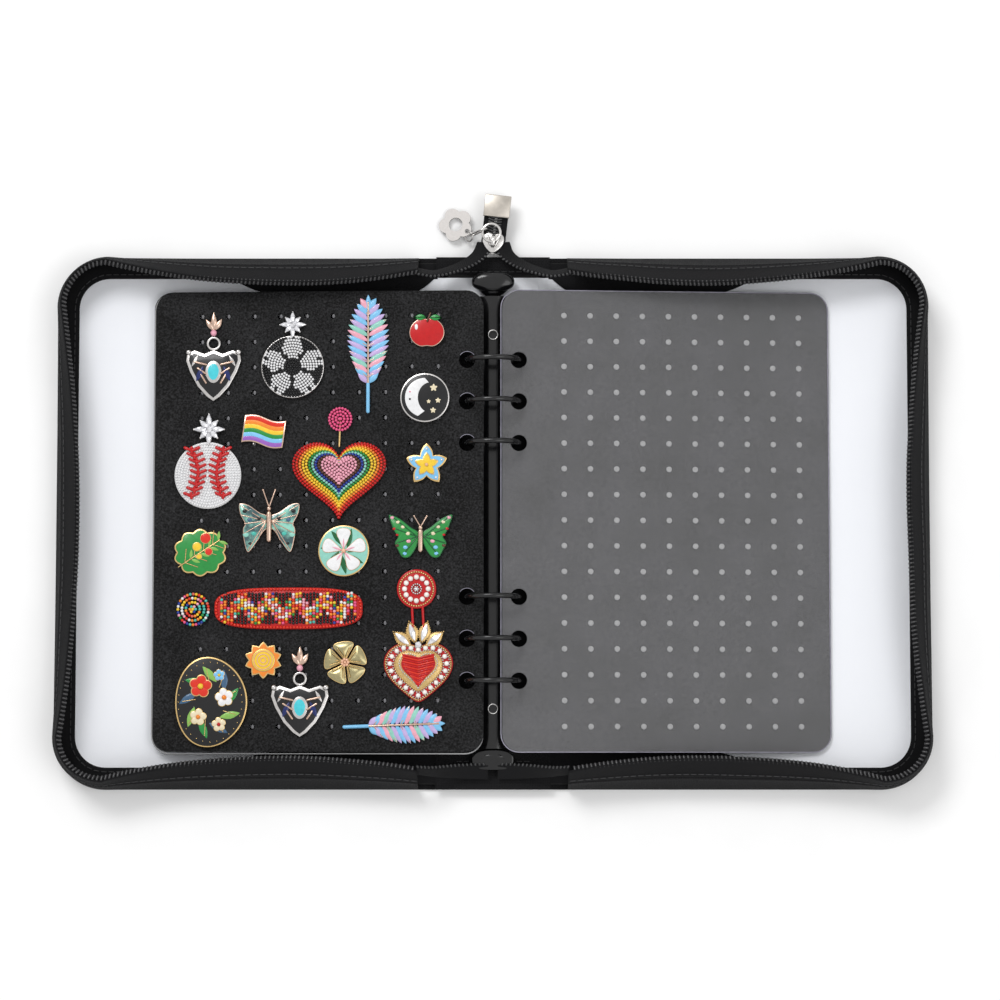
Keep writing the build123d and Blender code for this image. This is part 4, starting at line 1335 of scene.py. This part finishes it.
pin, w, h = new_pin("rainbow_heart")
pin.slab(heart_points(w, h, 0, -h * 0.03), "brown", 0.05, 1.2, 0.3)
rows = ("red", "scarlet", "orange", "yellow", "yellow", "green", "mint", "blue", "brown")
for k, paint in enumerate(rows + ("pink",) * 5):
    share = 1 - 0.068 * k
    ring = heart_points(w * share - 1.2, h * share - 1.2, 0, -h * 0.03 + h * 0.008 * k)
    pin.beads(ring, 1.42, 1.6 + 0.03 * k, 0.76, paint)
x, y, size = other("heart_bead", pin)
pin.bar((0, h * 0.3, 1), (x, y, 1), 0.5, "gold")
for k in range(4):
    pin.beads(circle(size * (1 - 0.27 * k) - 1.3), 1.36, 1.5 + 0.45 * k, 0.78, "rose", x=x, y=y)
pin.bead(x, y, 2.9, 0.9, "rose")
pin.finish("rainbow_heart_pin")

pin, w, h = new_pin("star")
for share, paint, z0, z1 in ((1, "gold", 0.05, 1.7), (0.88, "sky", 1.5, 1.8),
        (0.58, "gold", 1.7, 2.05), (0.5, "yellow", 1.9, 2.15)):
    pin.slab(star_points(w * share, h * share, 5, 0.48), paint, z0, z1, 0.06)
pin.bead(0, 0, 2.4, 0.9, "peach")
for a in angles(5, pi / 2):
    pin.bead(*pin.at(0.37, a), 2.0, 0.6, "white")
pin.finish("sky_pins")


def wing(x, y, w, h, turn, power):
    """A rounded petal, narrow at its root, which lies at the given place."""
    points = []
    for a in angles(40):
        reach = 0.5 + 0.5 * cos(a)
        px, py = w * reach ** power, h / 2 * sin(a) * (0.45 + 0.55 * reach)
        points.append((x + px * cos(turn) - py * sin(turn),
            y + px * sin(turn) + py * cos(turn)))
    return points


def rounded_off(points, steps=5):
    """A closed outline that runs smoothly through a few points."""
    made, count = [], len(points)
    for k in range(count):
        near = [points[(k + d) % count] for d in (-1, 0, 1, 2)]
        for t in (n / steps for n in range(steps)):
            made.append(tuple(spline_point(*values, t) for values in zip(*near)))
    return made


def butterfly(key, outline_shares, rim, fill, veins, spots, body, feelers):
    pin, w, h = new_pin(key)
    for side in (-1, 1):
        outline = rounded_off([(side * x * w, y * h) for x, y in outline_shares])
        pin.plate(outline[::-1] if side < 0 else outline, rim, fill, 1.6, 0.4)
        for x, y in veins:
            pin.bar((side * w * 0.05, 0, 1.7), (side * x * w, y * h, 1.7), 0.26, rim)
        for x, y, size, paint in spots:
            pin.add(fine_ball, paint, move(side * x * w, y * h, 1.7)
                @ Matrix.Diagonal((size / 2, size * 0.4, 0.35, 1)))
    pin.bar((0, -h * 0.3, 2), (0, h * 0.12, 2), 1.25, body)
    pin.bead(0, h * 0.2, 2.1, 1.15, body, True)
    for side in (-1, 1):
        pin.bar((0, h * 0.22, 1.9), (side * w * 0.1, h * feelers, 1.9), 0.34, body)
        pin.bead(side * w * 0.1, h * feelers, 1.9, 0.6, body)
    pin.finish("butterfly_pins")


butterfly("shell_butterfly", ((0.03, 0.08), (0.16, 0.14), (0.34, 0.26), (0.49, 0.28),
    (0.48, 0.12), (0.4, -0.04), (0.43, -0.12), (0.42, -0.28), (0.35, -0.5), (0.22, -0.36),
    (0.1, -0.18), (0.03, -0.1)), "rose_gold", "abalone",
    [(0.47, 0.25), (0.46, 0.1), (0.4, -0.04), (0.41, -0.2), (0.34, -0.46), (0.18, -0.3)],
    [(0.3, 0.16, 3.0, "abalone"), (0.38, -0.22, 2.8, "mint"), (0.25, -0.2, 2.4, "teal"),
    (0.4, 0.16, 2.2, "black"), (0.16, 0.04, 2.4, "black"), (0.31, -0.36, 1.7, "black"),
    (0.32, 0.02, 2.2, "steel")], "rose_gold", 0.5)
butterfly("green_butterfly", ((0.03, 0.1), (0.16, 0.22), (0.32, 0.4), (0.5, 0.5), (0.47, 0.3),
    (0.41, 0.1), (0.36, 0.0), (0.41, -0.14), (0.36, -0.3), (0.29, -0.46), (0.18, -0.46),
    (0.08, -0.28), (0.03, -0.08)), "leaf", "green",
    [(0.46, 0.46), (0.44, 0.2), (0.38, -0.14), (0.28, -0.42)],
    [(0.45, 0.43, 1.9, "pink"), (0.36, 0.33, 1.9, "cream"), (0.28, 0.22, 1.9, "cream"),
    (0.2, 0.07, 2.1, "cream"), (0.19, -0.1, 2.2, "pink"), (0.42, 0.18, 1.6, "red"),
    (0.37, 0.04, 1.4, "red"), (0.24, -0.24, 2.2, "sky"), (0.25, -0.38, 2.0, "sky"),
    (0.37, -0.2, 1.8, "brown")], "rose_gold", 0.46)

pin, w, h = new_pin("white_flower")
pin.plate(oval(w, h), "gold", "mint", 1.6, 0.6)
for k in range(7):
    a = pi / 2 + 2 * pi * (k + 0.5) / 7
    pin.spindle(*pin.at(0.26, a), 1.75, 9.4, 2.6, a + 0.25, "leaf", 0.3)
for k, a in enumerate(angles(5, pi / 2)):
    petal = wing(0.6 * cos(a), 0.6 * sin(a), w * (0.42 - 0.02 * (k % 2)), h * 0.36, a, 0.6)
    pin.slab(petal, "peach", 1.7, 2.0, 0.08)
    pin.slab(shrunk(petal, 0.2), "white", 1.9, 2.12, 0.1)
    pin.spindle(*pin.at(0.13, a), 2.15, 5.0, 0.8, a, "pink", 0.2)
pin.bead(0, 0, 2.1, 1.1, "peach", True)
pin.finish("flower_pins")

pin, w, h = new_pin("gold_flower")
for k, a in enumerate(angles(5, pi / 2)):
    petal = wing(0.3 * cos(a), 0.3 * sin(a), w * 0.5, h * 0.66, a + 0.12, 0.5)
    pin.slab(petal, "gold", 0.3 + 0.12 * k, 1.0 + 0.12 * k, 0.2)
    pin.dome(shrunk(petal, 0.3), "old_gold", 1.0 + 0.12 * k, 1.1)
    for turn in (a - 0.3, a + 0.12, a + 0.5):
        pin.bar((1.2 * cos(a), 1.2 * sin(a), 1.9), (*pin.at(0.38, turn), 1.9 + 0.1 * k), 0.2,
            "gold")
pin.beads(circle(2.8), 1.2, 2.2, 0.8, "peach")
pin.bead(0, 0, 2.2, 0.8, "peach")
pin.finish("flower_pins")

pin, w, h = new_pin("leaf")
pin.plate(polar(w, h, lambda a: 0.88 + 0.12 * abs(cos(5 * (a - pi / 2)))), "gold", "green",
    1.7, 0.7)
pin.bar((-w * 0.4, -h * 0.3, 2), (w * 0.36, h * 0.26, 2), 0.3, "gold")
for k in range(4):
    x, y = w * (-0.28 + 0.17 * k), h * (-0.21 + 0.127 * k)
    for side in (-1, 1):
        a = radians(33 + side * 52)
        pin.bar((x, y, 2), (x + 6.2 * cos(a), y + 6.2 * sin(a), 1.95), 0.2, "gold")
        pin.spindle(x + 5 * cos(a - side * 0.5), y + 4.6 * sin(a - side * 0.5), 1.85, 4.4,
            1.5, a, "lime", 0.2)
for x, y, r, paint in ((0.1, 0.3, 2.3, "scarlet"), (-0.06, 0.12, 1.9, "yellow"),
        (0.16, 0.02, 1.6, "scarlet"), (-0.02, -0.08, 1.2, "yellow")):
    pin.slab(circle(2 * r + 0.5, x * w, y * h, 24), "gold", 1.7, 2.0, 0.1)
    pin.slab(circle(2 * r, x * w, y * h, 24), paint, 1.9, 2.2, 0.2)
pin.finish("leaf_pin")

pin, w, h = new_pin("bead_bar")
pin.slab(rounded(w, h * 0.9, 3.2, 72), "red", 0.05, 1.3, 0.4)
pin.beads(rounded(w - 1.6, h * 0.9 - 1.6, 3.2, 72), 1.5, 1.5, 0.8, "scarlet")
tints = ("orange", "orange", "white", "scarlet", "coral", "yellow", "orange", "pink", "teal",
    "scarlet", "green", "white", "yellow", "rose", "blue")
for i in range(40):
    for j in range(11):
        x = -w / 2 + 3.4 + (w - 6.8) * i / 39
        y = h * 0.68 * ((j + 0.5) / 11 - 0.5) + 0.28 * sin(i * 1.7)
        if abs(x) > w / 2 - 4.6 and abs(y) > h * 0.26:
            continue
        zig = abs((i / 8 + 0.25) % 1 - 0.5) * 4 - 1
        open_field = abs(y / h - 0.2 * zig) > 0.24
        paint = random.choice(tints)
        pin.bead(x, y, 1.45 if open_field else 1.75, 0.82, "black" if open_field else paint)
x, y, size = other("bar_bead", pin)
for k in range(4):
    pin.beads(circle(size * (1 - 0.25 * k) - 1.2), 1.36, 1.5 + 0.42 * k, 0.8,
        lambda a, b: random.choice(tints), x=x, y=y)
pin.bead(x, y, 3.1, 0.8, "yellow")
pin.finish("bead_bar_pin")


def soft_heart(w, h, y):
    """A blunt heart, part way to an oval."""
    turned = oval(w, h, 0, y, 96)
    turned = [turned[(24 - k) % 96] for k in range(96)]
    return [tuple(0.5 * (a + b) for a, b in zip(p, q))
        for p, q in zip(heart_points(w, h, 0, y), turned)]


pin, w, h = new_pin("jewel_heart")
tall, at = h * 0.82, -h * 0.11
pin.slab(soft_heart(w, tall, at), "red", 0.05, 1.3, 0.4)
for inset, pitch, z, r, paint, fine in (
        (1.6, 1.0, 1.6, 0.5, "gold", False), (10.0, 1.1, 1.6, 0.5, "gold", False),
        (3.0, 1.2, 1.6, 0.45, "silver", False), (8.4, 1.2, 1.6, 0.45, "silver", False),
        (5.6, 3.4, 1.8, 1.15, "pearl", True)):
    pin.beads(soft_heart(w - inset, tall - inset, at), pitch, z, r, paint, fine)
red_w, red_h, red_y = w * 0.5, tall * 0.53, at - 0.3
pin.slab(soft_heart(w - 9.4, tall - 9.4, at), "gold", 1.1, 1.5, 0.1)
pin.beads(heart_points(red_w + 1.6, red_h + 1.6, 0, red_y), 1.1, 1.6, 0.5, "silver")
pin.slab(heart_points(red_w, red_h, 0, red_y), "red", 1.2, 1.7, 0.3)
for k in range(13):
    y0 = red_y + red_h * (0.34 - 0.064 * k)
    half = red_w * 0.44 * min(1, (13.4 - k) / 9)
    for side in (-1, 1):
        pin.bar((0, y0 - red_h * 0.06, 1.85),
            (side * half, y0 + red_h * 0.09 * half / red_w, 1.8), 0.5,
            "scarlet" if k % 2 else "red")
for k in range(4):
    a = radians(90 + 34 * (k - 1.5))
    x, y = 9.4 * cos(a), at + tall * 0.24 + 9.0 * sin(a)
    setting = [(x + 5.3 * cos(t) * cos(a) - 2.7 * sin(t) ** 3 * sin(a),
        y + 5.3 * cos(t) * sin(a) + 2.7 * sin(t) ** 3 * cos(a)) for t in angles(36)]
    pin.slab(setting, "gold", 0.4, 1.6, 0.2)
    pin.beads(setting, 1.0, 1.6, 0.42, "gold")
    pin.spindle(x, y, 1.9, 8.2, 3.0, a, "crystal", 0.9, stones)
pin.bead(0, at + tall * 0.34, 2.2, 1.7, "crystal", part=stones)
x, y, size = other("jewel_bead", pin)
for side in (-1, 1):
    pin.bar((side * 2.4, h * 0.34, 1.2), (x + side * 2.4, y, 1.2), 0.6, "red")
pin.slab(circle(size, x, y), "red", 0.05, 1.6, 0.5)
pin.beads(circle(size - 2.4), 1.1, 1.7, 0.55, "gold", x=x, y=y)
for a in angles(12):
    pin.bead(x + size * 0.3 * cos(a), y + size * 0.3 * sin(a), 1.9, 1.25, "pearl", True)
for across in (4.4, 2.0):
    pin.beads(circle(across), 1.0, 2.1, 0.5, "silver", x=x, y=y)
pin.bead(x, y, 2.5, 0.9, "crystal", True)
pin.finish("jewel_heart_pin")

pin, w, h = new_pin("garden_disc")
pin.plate(polar(w, h, lambda a: 0.975 + 0.025 * cos(3 * a)), "gold", "black", 1.7, 0.7)
pin.beads(oval(w * 0.86, h * 0.86), 3.2, 1.85, 0.35, "gold")
for k in range(9):
    a = radians(40 * k + 12)
    pin.spindle(*pin.at(0.3, a), 1.85, 9.5, 3.4, a + 0.7, ("green", "steel", "lime")[k % 3],
        0.35)
    pin.bar((*pin.at(0.2, a), 2.1), (*pin.at(0.37, a + 0.12), 2.1), 0.18, "gold")
for x, y, size, paint, middle in ((-0.13, 0.17, 10.5, "scarlet", "yellow"),
        (0.19, 0.05, 8.6, "white", "orange"), (-0.16, -0.16, 7.8, "cream", "orange"),
        (0.12, -0.24, 6.6, "cream", "red"), (0.12, 0.29, 5.4, "sky", "yellow")):
    for k in range(5):
        a = pi / 2 + 2 * pi * k / 5 + x
        cx, cy = x * w + size * 0.28 * cos(a), y * h + size * 0.28 * sin(a)
        pin.slab(circle(size * 0.46, cx, cy, 20), "gold", 1.9, 2.2, 0.08)
        pin.dome(circle(size * 0.4, cx, cy, 20), paint, 2.18, 0.3)
    pin.bead(x * w, y * h, 2.35, size * 0.13, middle, True)
pin.finish("garden_disc_pin")

pin, w, h = new_pin("sun")
for share, paint, z0, z1 in ((1, "gold", 0.05, 1.6), (0.91, "orange", 1.5, 1.7)):
    pin.slab(star_points(w * share, h * share, 10, 0.24), paint, z0, z1, 0.06)
pin.plate(oval(w * 0.62, h * 0.62), "gold", "yellow", 1.9, 0.4)
for k in range(3):
    pin.add(torus_template(1.2 + 1.5 * k, 0.2), "peach", move(0, 0, 2.1))
pin.finish("sky_pins")


# Floor, light and camera
paper = Surface("floor_paper")
grain = paper.noise(paper.place("Object"), 40.0)
paper.set(Base_Color=paper.ramp(grain, (0.3, (0.93, 0.93, 0.93)), (0.7, (0.95, 0.95, 0.95))),
    Roughness=0.9, Specular_IOR_Level=0.1)
reach = 3.0
data = bpy.data.meshes.new("floor")
data.from_pydata([(-reach, -reach, 0), (reach, -reach, 0), (reach, reach, 0),
    (-reach, reach, 0)], [], [(0, 1, 2, 3)])
data.materials.append(paper.made)
floor = linked(bpy.data.objects.new("floor", data))
floor.location.z = -0.2 * mm

world = bpy.data.worlds.new("studio")
bpy.context.scene.world = world
sky = Tree(world)
plain = sky.nodes["Background"]
plain.inputs["Color"].default_value = (1, 1, 1, 1)
plain.inputs["Strength"].default_value = 0.67
white = sky.node("Background", Color=(1, 1, 1, 1), Strength=1.0)
rays = sky.node("LightPath").outputs
seen = sky.math("MAXIMUM", rays["Is Camera Ray"],
    sky.math("MAXIMUM", rays["Is Glossy Ray"], rays["Is Transmission Ray"]))
mix = sky.node("MixShader")
for socket, value in zip(mix.inputs, (seen, plain.outputs[0], white.outputs[0])):
    sky.links.new(value, socket)
sky.links.new(mix.outputs[0], sky.nodes["World Output"].inputs["Surface"])


def aimed(name, data, place, target):
    """Puts a lamp or camera in the scene, looking at a target."""
    item = linked(bpy.data.objects.new(name, data))
    item.location = place
    item.rotation_mode = "QUATERNION"
    item.rotation_quaternion = (Vector(target) - Vector(place)).to_track_quat("-Z", "Y")
    return item


for name, place, size, power in (("key", (-0.7, 1.1, 1.5), (0.9, 0.6), 17.0),
        ("fill", (0.9, -0.3, 1.6), (1.2, 0.9), 7.0)):
    data = bpy.data.lights.new(name, "AREA")
    data.shape = "RECTANGLE"
    data.size, data.size_y = size
    data.energy = power
    aimed(name, data, place, (0, 0, 0))

data = bpy.data.cameras.new("camera")
data.sensor_width, data.lens, data.clip_end = 36.0, 118.4, 20.0
target = vec(3.2 * mm, 9.6 * mm, 8 * mm)
lean = radians(5)
bpy.context.scene.camera = aimed("camera", data, target + 1.5 * vec(0, -sin(lean), cos(lean)),
    target)
bpy.context.scene.view_settings.view_transform = "Standard"
